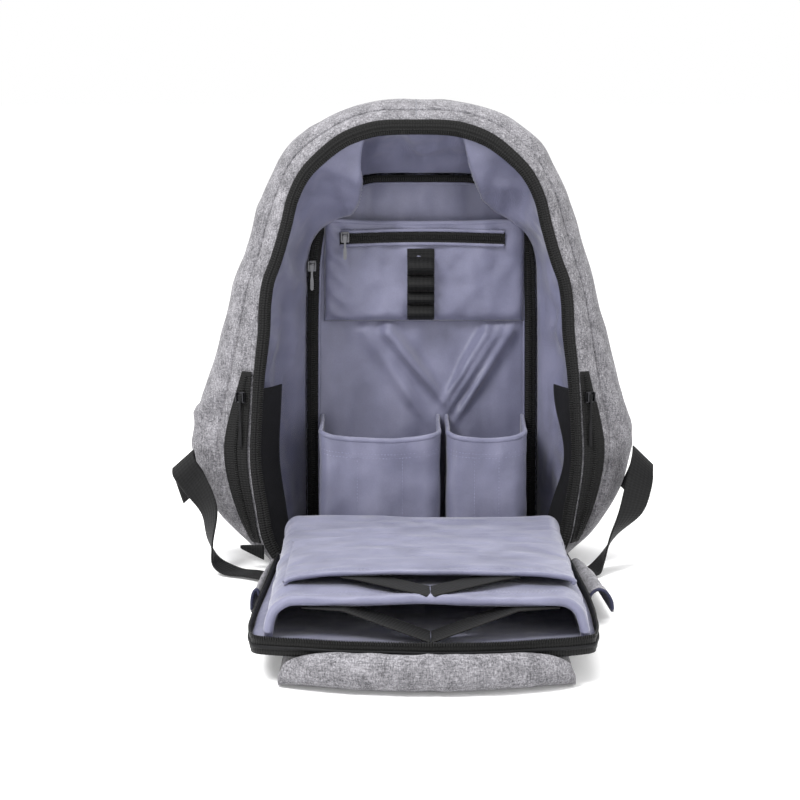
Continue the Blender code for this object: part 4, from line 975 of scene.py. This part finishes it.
def organizer():
    """The slip pocket on the divider: its crumpled cloth, its hem and the zip across it."""
    foot = ORGANIZER_FOOT
    rise = ORGANIZER_RISE
    across = np.linspace(-1.0, 1.0, 91)
    low = np.linspace(foot, foot + 0.012, 10)
    heights = np.concatenate([low, np.linspace(foot + 0.014, ORGANIZER_TOP, 40)])
    side = (1 - np.abs(across) ** 9) ** 0.5
    closed = np.clip(1 - (1 - (heights - foot) / rise) ** 2, 0.0, 1.0) ** 0.5
    closed[heights > foot + rise] = 1.0
    up = rise * (0.10 + 0.90 * side[None, :] * closed[:, None])
    x, z = np.meshgrid(INNER_SHIFT + ORGANIZER_HALF_WIDTH * across, heights)
    z = z - 0.003 * (1 - across**2) * np.clip((z - 0.30) / 0.03, 0, 1)
    grid = np.stack([x, divider_face(z) - GAP - up, z], axis=-1)
    free = side[None, :] * closed[:, None]
    grid[:, :, 1] -= 0.0024 * lumps(grid, 0.028, 4.4, 2) * free
    left = bump_near(x, INNER_SHIFT - 0.088, 0.010) * 0.002 * np.sin((z + x * 0.7) * 320)
    grid[:, :, 1] -= left * free
    piece = cloth("organizer_cloth", grid, 0.0018, LAVENDER, AHEAD, ["organizer_pocket"])
    hem = trail(grid, AHEAD, (1.0, 1.0), (0.0, 1.0), -0.0009, 160)
    roll("organizer_hem", hem, 0.0050, 0.0028, LAVENDER)
    lines = [
        trail(grid, AHEAD, (0.93, 0.93), (0.02, 0.98), 0.0, 160),
        trail(grid, AHEAD, (0.04, 0.04), (0.02, 0.98), 0.0, 160),
    ]
    stitches("organizer_stitching", lines, LAVENDER_THREAD)

    off = rise + 2 * GAP
    rows = []
    for share in np.linspace(-1.0, 1.0, 13):
        height = ORGANIZER_ZIP_HEIGHT + share * 0.00675
        x = INNER_SHIFT - 0.002 + np.linspace(-1, 1, 121) * 0.081
        ridge = 0.0006 * bump_near(share, 0.0, 0.3)
        bend = 0.0012 * np.cos(np.linspace(-1, 1, 121) * 2.2)
        y = np.full(121, divider_face(height) - off - TAPE_WALL - ridge)
        rows.append(np.column_stack([x, y, height + bend - 0.0012]))
    tape = np.array(rows)
    cloth("organizer_tape", tape, TAPE_WALL, TAPE, AHEAD, ["organizer_zip_tape"])
    coil("organizer_coil", trail(tape, AHEAD, (0.5, 0.5), (0.02, 0.98), 0.0006, 200))
    for row, name in ((1.0, "upper"), (0.0, "lower")):
        line = trail(tape, AHEAD, (row, row), (0.0, 1.0), 0.0002, 160)
        roll("organizer_welt_" + name, line, 0.0032, 0.0024, LAVENDER)
    slider("organizer", "organizer_pull", ORGANIZER_SLIDER, 0.0, 0.024, STEEL, STEEL)


# Loops of the pen band, from the top: length down the band, how far the loop stands out
PEN_LOOPS = ((0.018, 0.0125), (0.017, 0.0120), (0.0125, 0.0095), (0.015, 0.0110))


def pen_loops():
    """A woven band down the organizer, with loops that stand out between its sewn lines."""
    off = ORGANIZER_RISE + 2 * GAP
    band = LOOP_WIDTH * 0.3
    route = [(LOOP_BAND_TOP - band * share, 0.0) for share in even(6)]
    height = LOOP_BAND_TOP - band
    for length, stand in PEN_LOOPS:
        for share in even(26)[1:]:
            route.append((height - length * share, stand * max(math.sin(math.pi * share), 0.0) ** 0.6))
        height -= length
    route = np.array(route)
    rows = []
    for share in np.linspace(-0.5, 0.5, 13):
        x = np.full(len(route), LOOP_X + share * LOOP_WIDTH)
        pinch = 0.0008 * (1 - (2 * share) ** 4)
        y = divider_face(route[:, 0]) - off - 0.0012 - np.maximum(route[:, 1] - 0.0008 + pinch, 0.0)
        rows.append(np.column_stack([x, y, route[:, 0]]))
    grid = np.array(rows)
    cloth("pen_loop_elastic", grid, 0.0012, PEN_BAND, AHEAD, ["pen_loops"])
    lines = []
    height = LOOP_BAND_TOP - band
    for length in [0.0] + [row[0] for row in PEN_LOOPS]:
        height -= length
        z = np.full(20, height)
        x = LOOP_X + np.linspace(-0.5, 0.5, 20) * (LOOP_WIDTH - 0.002)
        y = divider_face(z) - off - 0.0017
        ups = np.tile([0.0, -1.0, 0.0], (20, 1))
        lines.append((np.column_stack([x, y, z]), ups))
    stitches("pen_loop_stitching", lines, LOOP_THREAD, 0.0022)


def box_section(half, rise, corner):
    """Half of a box pocket's section, from its edge to its middle, as (across, up)."""
    turn = np.linspace(0.0, math.pi / 2, 9)
    side = [(half, up) for up in np.linspace(0.0, rise - corner, 8)[:-1]]
    bend = [(half - corner + corner * math.cos(a), rise - corner + corner * math.sin(a)) for a in turn]
    flat = [(across, rise) for across in np.linspace(half - corner, 0.0, 26)[1:]]
    return np.array(side + bend + flat)


def pocket_grid(place, right, end_round, steps):
    """Grid of a pocket: across round its section, along from its rounded closed end to its mouth."""
    section = np.concatenate([right * [-1, 1], right[-2::-1]])
    grid = []
    for a in np.linspace(0.05, math.pi / 2, 9):
        back = end_round * (1 - math.cos(a))
        grid.append([place(across, up * math.sin(a), 0.0, back) for across, up in section])
    for along in steps:
        grid.append([place(across, up, along, 0.0) for across, up in section])
    return np.array(grid), section


def lower_pockets():
    """The two open box pockets on the divider's foot, with sagging mouths and rolled hems."""
    left = -0.094
    depth = POCKET_DEPTH
    for name, width in POCKET_WIDTHS:
        middle = left + width / 2
        half = width / 2
        left += width + 0.0058

        def place(across, up, along, _):
            front = along * up / depth
            sag = 0.007 * front + 0.0055 * front * (1 - (across / half) ** 2)
            height = POCKET_FOOT + POCKET_HEIGHT * along - sag
            return (middle + across, divider_y(height) - 2 * GAP - up, height)

        grid, section = pocket_grid(place, box_section(half, depth, 0.016), 0.0, np.linspace(0.02, 1.0, 40))
        normal = fix_normals(facing_normals(grid, AHEAD)[0])
        free = np.clip(section[:, 1] / depth, 0, 1) * np.clip(np.arange(len(grid)) / 15, 0, 1)[:, None]
        crease = 0.0030 * lumps(grid * np.array([1.0, 1.0, 0.6]), 0.035, 6.6, 2) * free
        grid = grid + normal * crease[:, :, None]
        piece = cloth(name + "_cloth", grid, 0.003, LAVENDER, AHEAD, [name])
        hem = trail(grid, AHEAD, (1.0, 1.0), (0.01, 0.99), -0.0015, 260)
        roll(name + "_hem", hem, 0.0060, 0.0044, LAVENDER)
        lines = []
        for row in (0.90, 0.87):
            lines.append(trail(grid, AHEAD, (row, row), (0.0, 1.0), 0.0, 260))
        for col in (0.34, 0.66):
            lines.append(trail(grid, AHEAD, (0.15, 0.88), (col, col), 0.0, 160))
        stitches(name + "_stitching", lines, LAVENDER_THREAD)


# Sliders and pullers


def rounded_box(low, high, round_by):
    bm = bmesh.new()
    bmesh.ops.create_cube(bm, size=1.0)
    low = Vector(low)
    high = Vector(high)
    for vert in bm.verts:
        vert.co = Vector([low[k] + (high[k] - low[k]) * (vert.co[k] + 0.5) for k in range(3)])
    bmesh.ops.bevel(bm, geom=bm.edges[:], offset=round_by, segments=2, profile=0.5, affect="EDGES")
    verts = [tuple(vert.co) for vert in bm.verts]
    faces = [[vert.index for vert in face.verts] for face in bm.faces]
    bm.free()
    return verts, faces


def merged(parts):
    verts = []
    faces = []
    for some_verts, some_faces in parts:
        start = len(verts)
        verts.extend([tuple(vert) for vert in some_verts])
        faces.extend([[start + int(i) for i in face] for face in some_faces])
    return verts, faces


def slider(prefix, body, at, turn, length, look, pull_look):
    """A zip slider with its bridge, and the puller that hangs on it, both round at their edges."""
    face = -SEAT - 0.003
    parts = [
        rounded_box((-0.0042, face, -0.0055), (0.0042, face + 0.003, 0.0055), 0.0009),
        rounded_box((-0.0042, face - 0.0034, -0.0042), (-0.0030, face + 0.0005, 0.0050), 0.0004),
        rounded_box((0.0030, face - 0.0034, -0.0042), (0.0042, face + 0.0005, 0.0050), 0.0004),
    ]
    cos = math.cos(turn)
    sin = math.sin(turn)

    def world(points, centre):
        turned = [(x * cos - y * sin, x * sin + y * cos, z) for x, y, z in points]
        return np.array(turned) + np.array(centre)

    verts, faces = merged(parts)
    verts = world(verts, at)
    make_piece(prefix + "_slider_body", verts, faces, look, replaces=[prefix + "_slider"], sharp=35)
    forward = SEAT + 0.0046
    pin = (at[0] + forward * sin, at[1] - forward * cos, at[2] + 0.002)
    reach = 0.0027
    line = np.column_stack([np.linspace(-reach, reach, 5), np.zeros(5), np.zeros(5)])
    barrel = tube_mesh(line, np.tile([0.0, 0.0, 1.0], (5, 1)), 0.0023, 0.0023, 10)
    neck = 0.0010
    wide = 0.0016
    shank = [
        (-reach * 0.8, -0.0009), (-neck, -0.006), (-neck, -length * 0.45), (-wide, -length * 0.62),
        (-wide, -length + 0.0012), (-wide + 0.0012, -length),
        (wide - 0.0012, -length), (wide, -length + 0.0012),
        (wide, -length * 0.62), (neck, -length * 0.45), (neck, -0.006), (reach * 0.8, -0.0009),
    ]
    front = [(x, -0.0006, z) for x, z in shank]
    rear = [(x, 0.0006, z) for x, z in shank]
    count = len(shank)
    plate_faces = [list(range(count)), list(range(2 * count - 1, count - 1, -1))]
    for i in range(count):
        j = (i + 1) % count
        plate_faces.append([j, i, count + i, count + j])
    verts, faces = merged([barrel, (front + rear, plate_faces)])
    verts = world(verts, pin)
    make_piece(prefix + "_pull_tab", verts, faces, pull_look, body, [prefix + "_puller"], sharp=35)


def side_zips():
    """Zip tapes of the side pockets, with the sliders that hang on them."""
    middle = RING // 2
    heights = np.linspace(SIDE_ZIP_FOOT, SIDE_ZIP_TOP, 90)
    narrow = 1.0 - 0.45 * even(90) ** 3
    for side, name, lift, at, turn in (
        (-1, "left", 0.0032, LEFT_SLIDER, LEFT_SLIDER_TURN),
        (1, "right", 0.0021, RIGHT_SLIDER, RIGHT_SLIDER_TURN),
    ):
        rows = []
        for share in np.linspace(0.006, 0.080, 11):
            rings = body_surface(share * narrow)
            points = []
            for ring, height in zip(rings, heights):
                half = ring[middle:][::-1] if side > 0 else ring[: middle + 1]
                points.append([np.interp(height, half[:, 2], half[:, k]) for k in range(3)])
            rows.append(points)
        grid = np.array(rows)
        facing = (side, -1, 0)
        normal, _ = facing_normals(grid, facing)
        grid = grid + normal * lift
        cloth("side_tape_" + name, grid, 0.0012, TAPE, facing, ["side_zip_tape_" + name])
        coil("side_coil_" + name, trail(grid, facing, (0.5, 0.5), (0.02, 0.98), 0.0004, 200))
        slider("side_zip_" + name, "side_pull_" + name, at, turn, 0.050, GUNMETAL, PULL_CORD)


# Panel and sleeves


def panel_outline(count=RING):
    flat = mirrored_outline(PANEL_SHAPE, PANEL_HALF_WIDTH, PANEL_LENGTH, 0.0017, count)
    ahead = np.clip((flat[:, 1] - 0.22) / 0.16, 0.0, 1.0)
    flat[:, 0] *= 1.0 - np.where(flat[:, 0] > 0, 0.045, 0.010) * ahead
    return np.column_stack([flat[:, 0] + PANEL_SHIFT, flat[:, 1]])


def panel():
    """The padded back panel: lining on its upper face, air mesh below, zip tape round its edge."""
    flat = panel_outline()
    spine = flat.copy()
    spine[:, 0] = PANEL_SHIFT
    spine[:, 1] = np.minimum(flat[:, 1], PANEL_LENGTH * 0.72)
    turn = np.linspace(0.0, math.pi / 2, 10)
    upper = []
    lower = []
    shares = np.concatenate([1 - PANEL_ROUND * (1 - np.cos(turn)), np.linspace(0.9, 0.0, 24)])
    for share in shares:
        along = spine[:, 1] + (flat[:, 1] - spine[:, 1]) * share
        x = spine[:, 0] + (flat[:, 0] - spine[:, 0]) * share
        past = max(0.0, (share - PANEL_FLAT) / PANEL_ROUND)
        edge = math.sqrt(max(0.0, 1 - past**2))
        middle = panel_under(along) + PANEL_WALL / 2
        upper.append(np.column_stack([x, RIM_Y - along, middle + edge * PANEL_WALL / 2]))
        lower.append(np.column_stack([x, RIM_Y - along, middle - edge * PANEL_WALL / 2]))
    top = np.array(upper)
    under = np.array(lower)
    cloth("panel_lining", top, 0.0015, LAVENDER, UP, ["back_panel"])
    padding = under + np.array([0, 0, 0.0004])
    piece = cloth("panel_mesh", padding, 0.003, MESH, (0, 0, -1))
    outline = panel_outline(501)
    rows = []
    for share in even(13):
        tape = inset(outline, -(GAP + 0.0006 + TAPE_WALL))
        z = panel_under(outline[:, 1]) + PANEL_WALL / 2 + 0.014 * (share - 0.5)
        z = np.maximum(z, FOOT + GAP + 0.0008 * share)
        rows.append(np.column_stack([tape[:, 0], RIM_Y - tape[:, 1], z]))
    grid = np.array(rows)
    wavy = 0.0012 * lumps(grid, 0.05, 8.8, 1)
    grid[:, :, 2] += wavy * np.clip((outline[:, 1] - 0.1) / 0.2, 0, 1)[None, :]
    cloth("panel_tape", grid, TAPE_WALL, TAPE, AHEAD, ["panel_zip_tape"])
    coil("panel_coil", trail(grid, AHEAD, (0.97, 0.97), (0.01, 0.99), 0.0002, 900))
    rim = trail(grid, AHEAD, (0.45, 0.45), (0.01, 0.99), 0.0006, 500)
    roll("panel_binding", rim, 0.0030, 0.0018, BINDING)


def large_sleeve_top(along):
    share = (along - LARGE_START) / (LARGE_END - LARGE_START)
    return panel_top(along) + SEAT + LARGE_RISE + LARGE_SWELL * (1.0 - share)


def sleeve_place(start, end, rise, swell, half, lean, shift, base):
    """A function that sets a point of a sleeve's section on the panel, lower towards the mouth."""

    def place(across, up, along, back):
        distance = start + (end - start) * along + back
        narrow = 1.0 - lean / half * along * (up / rise) ** 2
        tall = 1.0 + swell / rise * (1.0 - along)
        z = base(distance) + SEAT + up * tall
        return (PANEL_SHIFT + shift + across * narrow, RIM_Y - distance, z)

    return place


def small_section():
    """The small sleeve's arched section, from its edge to its middle."""
    knots = np.arange(len(SMALL_SLEEVE_SECTION))
    at = np.linspace(0.0, knots[-1], 40)
    wide, high = interp_smooth(knots, np.array(SMALL_SLEEVE_SECTION), at).T
    wide = np.concatenate([np.minimum(wide, 1.0), np.linspace(0.21, 0.0, 8)])
    high = np.concatenate([np.minimum(high, 1.0), np.ones(8)])
    return np.column_stack([wide * SMALL_HALF, high * SMALL_RISE])


def sleeves():
    """The large padded sleeve on the panel and the small one on top, each with a rolled hem at its mouth."""
    large = sleeve_place(
        LARGE_START, LARGE_END, LARGE_RISE, LARGE_SWELL, LARGE_HALF, LARGE_LEAN, 0.0, panel_top,
    )
    small = sleeve_place(
        SMALL_START, SMALL_END, SMALL_RISE, SMALL_SWELL, SMALL_HALF, 0.0, SMALL_SHIFT, large_sleeve_top,
    )
    for name, place, right, wall, seed, hem_wide, hem_high in (
        ("large_sleeve", large, box_section(LARGE_HALF, LARGE_RISE, 0.013), 0.007, 1.5, 0.0110, 0.0084),
        ("small_sleeve", small, small_section(), 0.003, 3.5, 0.0056, 0.0046),
    ):
        rise = right[-1, 1]
        grid, section = pocket_grid(place, right, 0.009, np.linspace(0.05, 1.0, 70))
        normal = fix_normals(facing_normals(grid, UP)[0])
        free = np.clip(section[:, 1] / rise, 0, 1)[None, :] * np.ones(len(grid))[:, None]
        pleat = np.clip((np.arange(len(grid)) / len(grid) - 0.45) / 0.3, 0, 1)[:, None]
        sides = np.clip((np.abs(section[:, 0]) / right[0, 0] - 0.86) / 0.1, 0, 1)[None, :]
        crease = 0.0026 * lumps(grid * np.array([0.5, 1.6, 1.0]), 0.045, seed, 2) * free
        crease = crease + 0.0014 * np.sin(grid[:, :, 1] * 260) * pleat * sides * free
        grid = grid + normal * crease[:, :, None]
        piece = cloth(name + "_cloth", grid, wall, LAVENDER, UP, [name])
        hem = trail(grid, UP, (1.0, 1.0), (0.015, 0.985), -wall / 2, 300)
        roll(name + "_hem", hem, hem_wide, hem_high, LAVENDER, 14)
        lines = []
        for row in (0.968, 0.948):
            lines.append(trail(grid, UP, (row, row), (0.05, 0.95), 0.0, 300))
        stitches(name + "_stitching", lines, LAVENDER_THREAD)


def ribbon(name, centres, widths, wall, look, facing, replaces):
    """A flat strap along its centres, with half its width as a vector at each."""
    centres = np.asarray(centres, float)
    widths = np.asarray(widths, float)
    rows = [centres + widths * share for share in np.linspace(-1.0, 1.0, 13)]
    return cloth(name, rows, wall, look, facing, replaces)


def small_sleeve_crown(along):
    return large_sleeve_top(along) + SEAT + SMALL_RISE * 0.93


def hold_straps():
    """The pairs of straps that run from each sleeve's mouth to a point in front of it."""
    meet = -0.0035
    for size, mouth_at, over, hem, spread, far, under, lift in (
        ("large", LARGE_END, large_sleeve_top, 0.0078, 0.100, PANEL_LENGTH - 0.011, panel_top, 0.0038),
        ("small", SMALL_END, small_sleeve_crown, 0.0046, 0.067, 0.392, large_sleeve_top, 0.0023),
    ):
        tucked = mouth_at - 0.010
        high = over(tucked) - hem
        low = under(far) + lift
        for side, name in ((-1, "left"), (1, "right")):
            share = even(60)
            along = tucked + (far - tucked) * share
            fall = np.clip((along - mouth_at) / (far - mouth_at), 0.0, 1.0)
            middle = PANEL_SHIFT + 0.003
            x = middle + side * (spread + (meet - spread) * share)
            route = np.column_stack([x, RIM_Y - along, high + (low - high) * fall])
            lines = np.cross(np.gradient(route, axis=0), (0.0, 0.0, 1.0))
            lines /= np.linalg.norm(lines, axis=1)[:, None]
            rows = np.array([route + lines * STRAP_HALF_WIDTH * part for part in np.linspace(-1.0, 1.0, 13)])
            rows[:, :, 0] = middle + side * np.maximum(side * (rows[:, :, 0] - middle), 0.0004)
            cloth(
                size + "_hold_webbing_" + name, rows, 0.0015, WEBBING, UP,
                [size + "_hold_strap_" + name],
            )


def wings():
    """Grey side flaps that arch out from the panel's zip tape, with a dark navy sheet inside as painted
    shade, and a bound front end.
    """
    outline = panel_outline()
    right = outline[RING // 2 :][::-1]
    shares = even(60)
    along = WING_START + WING_LENGTH * shares
    half = np.interp(along, right[:, 1], right[:, 0]) - PANEL_SHIFT
    flare = interp_smooth([0.0, 0.4, 1.0], [0.60, 0.82, 1.00], shares)
    section = curve_through([(out, up, 0.0) for out, up in WING_SHAPE], 25)
    inner = half + 0.0021 + 2 * GAP
    for side, name, reach in ((-1, "left", 0.010), (1, "right", 0.024)):
        rows = []
        for out, up, _ in section:
            x = PANEL_SHIFT + side * (inner + reach * out * flare)
            rows.append(np.column_stack([x, RIM_Y - along, WING_HEIGHT * up * flare]))
        grid = np.array(rows)
        normal = fix_normals(facing_normals(grid, (side, 0, 1))[0])
        soft = 0.0014 * lumps(grid, 0.03, 2.7, 2) * np.sin(np.linspace(0, math.pi, len(grid)))[:, None]
        grid = grid + normal * soft[:, :, None]
        piece = cloth("wing_cloth_" + name, grid, 0.0018, HEATHER, (side, 0, 1), ["side_wing_" + name])
        # Painted shade: a thin dark navy sheet just inside each flap stands in for the shade in its open end
        inside = (grid - normal * 0.0019)[:, 22:]
        shade_sheet = cloth("wing_painted_shade_" + name, inside, 0.0006, NAVY, (side, 0, 1))
        end = trail(grid, (side, 0, 1), (0.03, 0.97), (1.0, 1.0), -0.0010, 80)
        roll("wing_binding_" + name, end, 0.0030, 0.0028, NAVY)


# Yoke and straps


def puff(piece, voxel, cap):
    """Fills a padded piece by a short cloth simulation, and moves no point further than the cap."""
    soft = piece.copy()
    soft.data = piece.data.copy()
    bpy.context.collection.objects.link(soft)
    remesh = soft.modifiers.new("remesh", "REMESH")
    remesh.mode = "VOXEL"
    remesh.voxel_size = voxel
    graph = bpy.context.evaluated_depsgraph_get()
    soft_mesh = bpy.data.meshes.new_from_object(soft.evaluated_get(graph))
    soft.modifiers.clear()
    soft.data = soft_mesh
    before = np.empty(len(soft_mesh.vertices) * 3)
    soft_mesh.vertices.foreach_get("co", before)
    filled = soft.modifiers.new("filled", "CLOTH")
    filled.settings.use_pressure = True
    filled.settings.uniform_pressure_force = 4.0
    filled.settings.effector_weights.gravity = 0.0
    for frame_number in range(1, 21):
        bpy.context.scene.frame_set(frame_number)
    graph = bpy.context.evaluated_depsgraph_get()
    after = np.empty(len(before))
    soft.evaluated_get(graph).data.vertices.foreach_get("co", after)
    before = before.reshape(-1, 3)
    moves = after.reshape(-1, 3) - before
    size = np.linalg.norm(moves, axis=1)
    moves *= (np.minimum(size, cap) / np.maximum(size, 1e-9))[:, None]
    tree = KDTree(len(before))
    for k, point in enumerate(before):
        tree.insert(point, k)
    tree.balance()
    for vert in piece.data.vertices:
        near = tree.find_n(vert.co, 6)
        weights = np.array([1.0 / (distance + 0.001) for _, _, distance in near])
        move = sum(moves[k] * weight for (_, k, _), weight in zip(near, weights)) / weights.sum()
        vert.co += Vector(move)
        vert.co.z = max(vert.co.z, 0.0004)
    bpy.context.scene.frame_set(1)
    bpy.data.objects.remove(soft, do_unlink=True)


def yoke():
    """The padded grey yoke under the panel's front edge, and the padded shoulder straps behind it."""
    outline = panel_outline()
    front = outline[np.argsort(outline[:, 0])]
    front = front[np.abs(front[:, 0] - PANEL_SHIFT) < PANEL_HALF_WIDTH * 0.90]
    closed = np.array(YOKE_SECTION + YOKE_SECTION[:1])
    size = np.array([0.05, 0.03])
    section = curve_through(np.column_stack([closed * size, np.zeros(len(closed))]), 49)
    section = section[:-1, :2] / size
    sides = len(section)
    loops = []
    for share in np.linspace(-1.0, 1.0, 61):
        x = PANEL_SHIFT + share * YOKE_HALF_WIDTH
        edge = np.interp(x, front[:, 0], front[:, 1])
        tall = 0.30 + 0.70 * math.sqrt(1.0 - abs(share) ** 6)
        ahead = YOKE_LIP * (1.0 - 0.65 * abs(share) ** 7)
        y = RIM_Y - edge - section[:, 0] * np.where(section[:, 0] > 0, ahead, YOKE_BACK)
        loops.append(np.column_stack([np.full(sides, x), y, panel_under(edge) * section[:, 1] * tall]))
    ring = np.array(loops)
    faces = closed_faces(len(loops), sides)
    verts = ring.reshape(-1, 3).copy()
    ahead = np.clip((-verts[:, 1] - 0.490) / 0.012, 0.0, 1.0)
    dent = 0.0024 * bump_near(verts[:, 0], PANEL_SHIFT + 0.002, 0.005)
    verts[:, 1] -= ahead * (0.0022 * lumps(verts, 0.03, 6.1, 2) - dent)
    verts[:, 2] = np.maximum(verts[:, 2], 0.0004)
    piece = make_piece("yoke_roll", verts, faces, HEATHER, replaces=["strap_yoke"])
    puff(piece, 0.005, 0.0015)
    line = [(x, y, z) for x, y, z in ring[2:-2, round(sides * 0.57)]]
    ups = np.tile([0.0, -0.7, 0.7], (len(line), 1))
    points = np.array(line) + [0.0, -0.0012, 0.0]
    stitches("yoke_stitching", [(points, ups)])

    start = PANEL_LENGTH - YOKE_BACK - 0.022 - 0.006
    for side, name in ((-1, "left"), (1, "right")):
        rows = []
        for across in np.linspace(-0.5, 0.5, 25):
            share = even(60)
            along = start - 0.250 * share
            middle = PANEL_SHIFT + side * (0.058 + 0.024 * share**1.5)
            width = 0.062 * (1.0 - 0.25 * share)
            edge = math.sqrt(max(0.0, 1 - abs(across * 2) ** 4))
            high = np.minimum(0.010, panel_under(along) - 3 * GAP) * (0.35 + 0.65 * edge)
            rows.append(np.column_stack([middle + across * width, RIM_Y - along, high]))
        grid = np.array(rows)
        wall = grid[:, :, 2] - 0.0004
        piece = cloth(
            "strap_pad_" + name, grid, wall, HEATHER, UP, ["shoulder_strap_" + name], edge=0.1
        )


def side_webbing():
    """The side straps that leave the body, hang and run under the panel, and the tab at the left corner."""
    half = WEBBING_HALF_WIDTH
    for side, name, table in ((-1, "left", WEBBING_LEFT), (1, "right", WEBBING_RIGHT)):
        route = []
        for out, forward, high, tilt, swing in table:
            tilt = math.radians(tilt)
            swing = math.radians(swing)
            centre = (side * WEBBING_OUT * out, RIM_Y - WEBBING_FORWARD * forward, WEBBING_HIGH * high)
            level = half * math.cos(tilt)
            run = (side * level * math.cos(swing), level * math.sin(swing), -half * math.sin(tilt))
            route.append((*centre, *run))
        route = curve_through(route, 150)
        ribbon(
            "side_webbing_" + name, route[:, :3], route[:, 3:], 0.0016, WEBBING, (0, -1, 0.4),
            ["webbing_" + name],
        )
    root = -RIM_HALF_WIDTH * 0.922
    y = RIM_Y - TAPE_WALL
    rows = []
    for share in even(7):
        x = root - 0.022 * even(12)
        low = 0.024 - 0.014 * (1 - 0.8 * even(12))
        rows.append(np.column_stack([x, np.full(12, y), 0.024 + (low - 0.024) * share]))
    cloth("corner_tab_webbing", rows, 0.0016, WEBBING, AHEAD, ["corner_tab"])


# Lamps: name, place, where it points, side in metres, power in watts
LAMPS = (
    ("key", (-1.3, -1.6, 2.3), (0.0, -0.1, 0.2), 0.9, 92.0),
    ("fill", (1.6, -1.8, 1.4), (0.0, -0.1, 0.2), 1.6, 16.0),
    ("top", (0.2, 0.3, 2.6), (0.0, 0.0, 0.1), 1.4, 34.0),
)


def stage():
    """The floor, the lights and the camera."""
    mesh = bpy.data.meshes.new("floor")
    corners = [(x, y, -0.0004) for x, y in ((-9, -7), (9, -7), (9, 11), (-9, 11))]
    mesh.from_pydata(corners, [], [(0, 1, 2, 3)])
    material = finish("pale_floor", 0.9)
    grain = speckle(material, (3, 3, 3), 3.0)
    use(material, ramp(material, grain, [(0.3, (0.86, 0.86, 0.86)), (0.7, (0.89, 0.89, 0.89))]))
    shader = material.node_tree.nodes["Principled BSDF"]
    shader.inputs["Emission Color"].default_value = (1.0, 1.0, 1.0, 1.0)
    shader.inputs["Emission Strength"].default_value = 0.16
    mesh.materials.append(material)
    floor = bpy.data.objects.new("floor", mesh)
    bpy.context.collection.objects.link(floor)

    world = bpy.data.worlds.new("studio")
    world.use_nodes = True
    background = world.node_tree.nodes["Background"]
    background.inputs["Color"].default_value = (1.0, 1.0, 1.0, 1.0)
    background.inputs["Strength"].default_value = 1.0
    bpy.context.scene.world = world
    for name, place, aim, size, power in LAMPS:
        light = bpy.data.lights.new(name, "AREA")
        light.size = size
        light.energy = power
        lamp = bpy.data.objects.new(name, light)
        lamp.location = place
        direction = Vector(aim) - Vector(place)
        lamp.rotation_euler = direction.to_track_quat("-Z", "Y").to_euler()
        bpy.context.collection.objects.link(lamp)

    camera = bpy.data.objects.new("camera", bpy.data.cameras.new("camera"))
    camera.data.sensor_fit = "HORIZONTAL"
    camera.data.sensor_width = 36.0
    camera.data.lens = 36.0 * FOCAL_PIXELS / IMAGE_PIXELS
    camera.location = CAMERA_PLACE
    camera.rotation_euler = (math.radians(90.0 - CAMERA_DOWN), 0.0, 0.0)
    bpy.context.collection.objects.link(camera)
    bpy.context.scene.camera = camera
    bpy.context.scene.view_settings.view_transform = "Standard"


stage()
shell()
shell_front()
shell_base()
mouth()
lining()
gussets()
divider()
organizer()
pen_loops()
lower_pockets()
side_zips()
panel()
sleeves()
hold_straps()
wings()
yoke()
side_webbing()
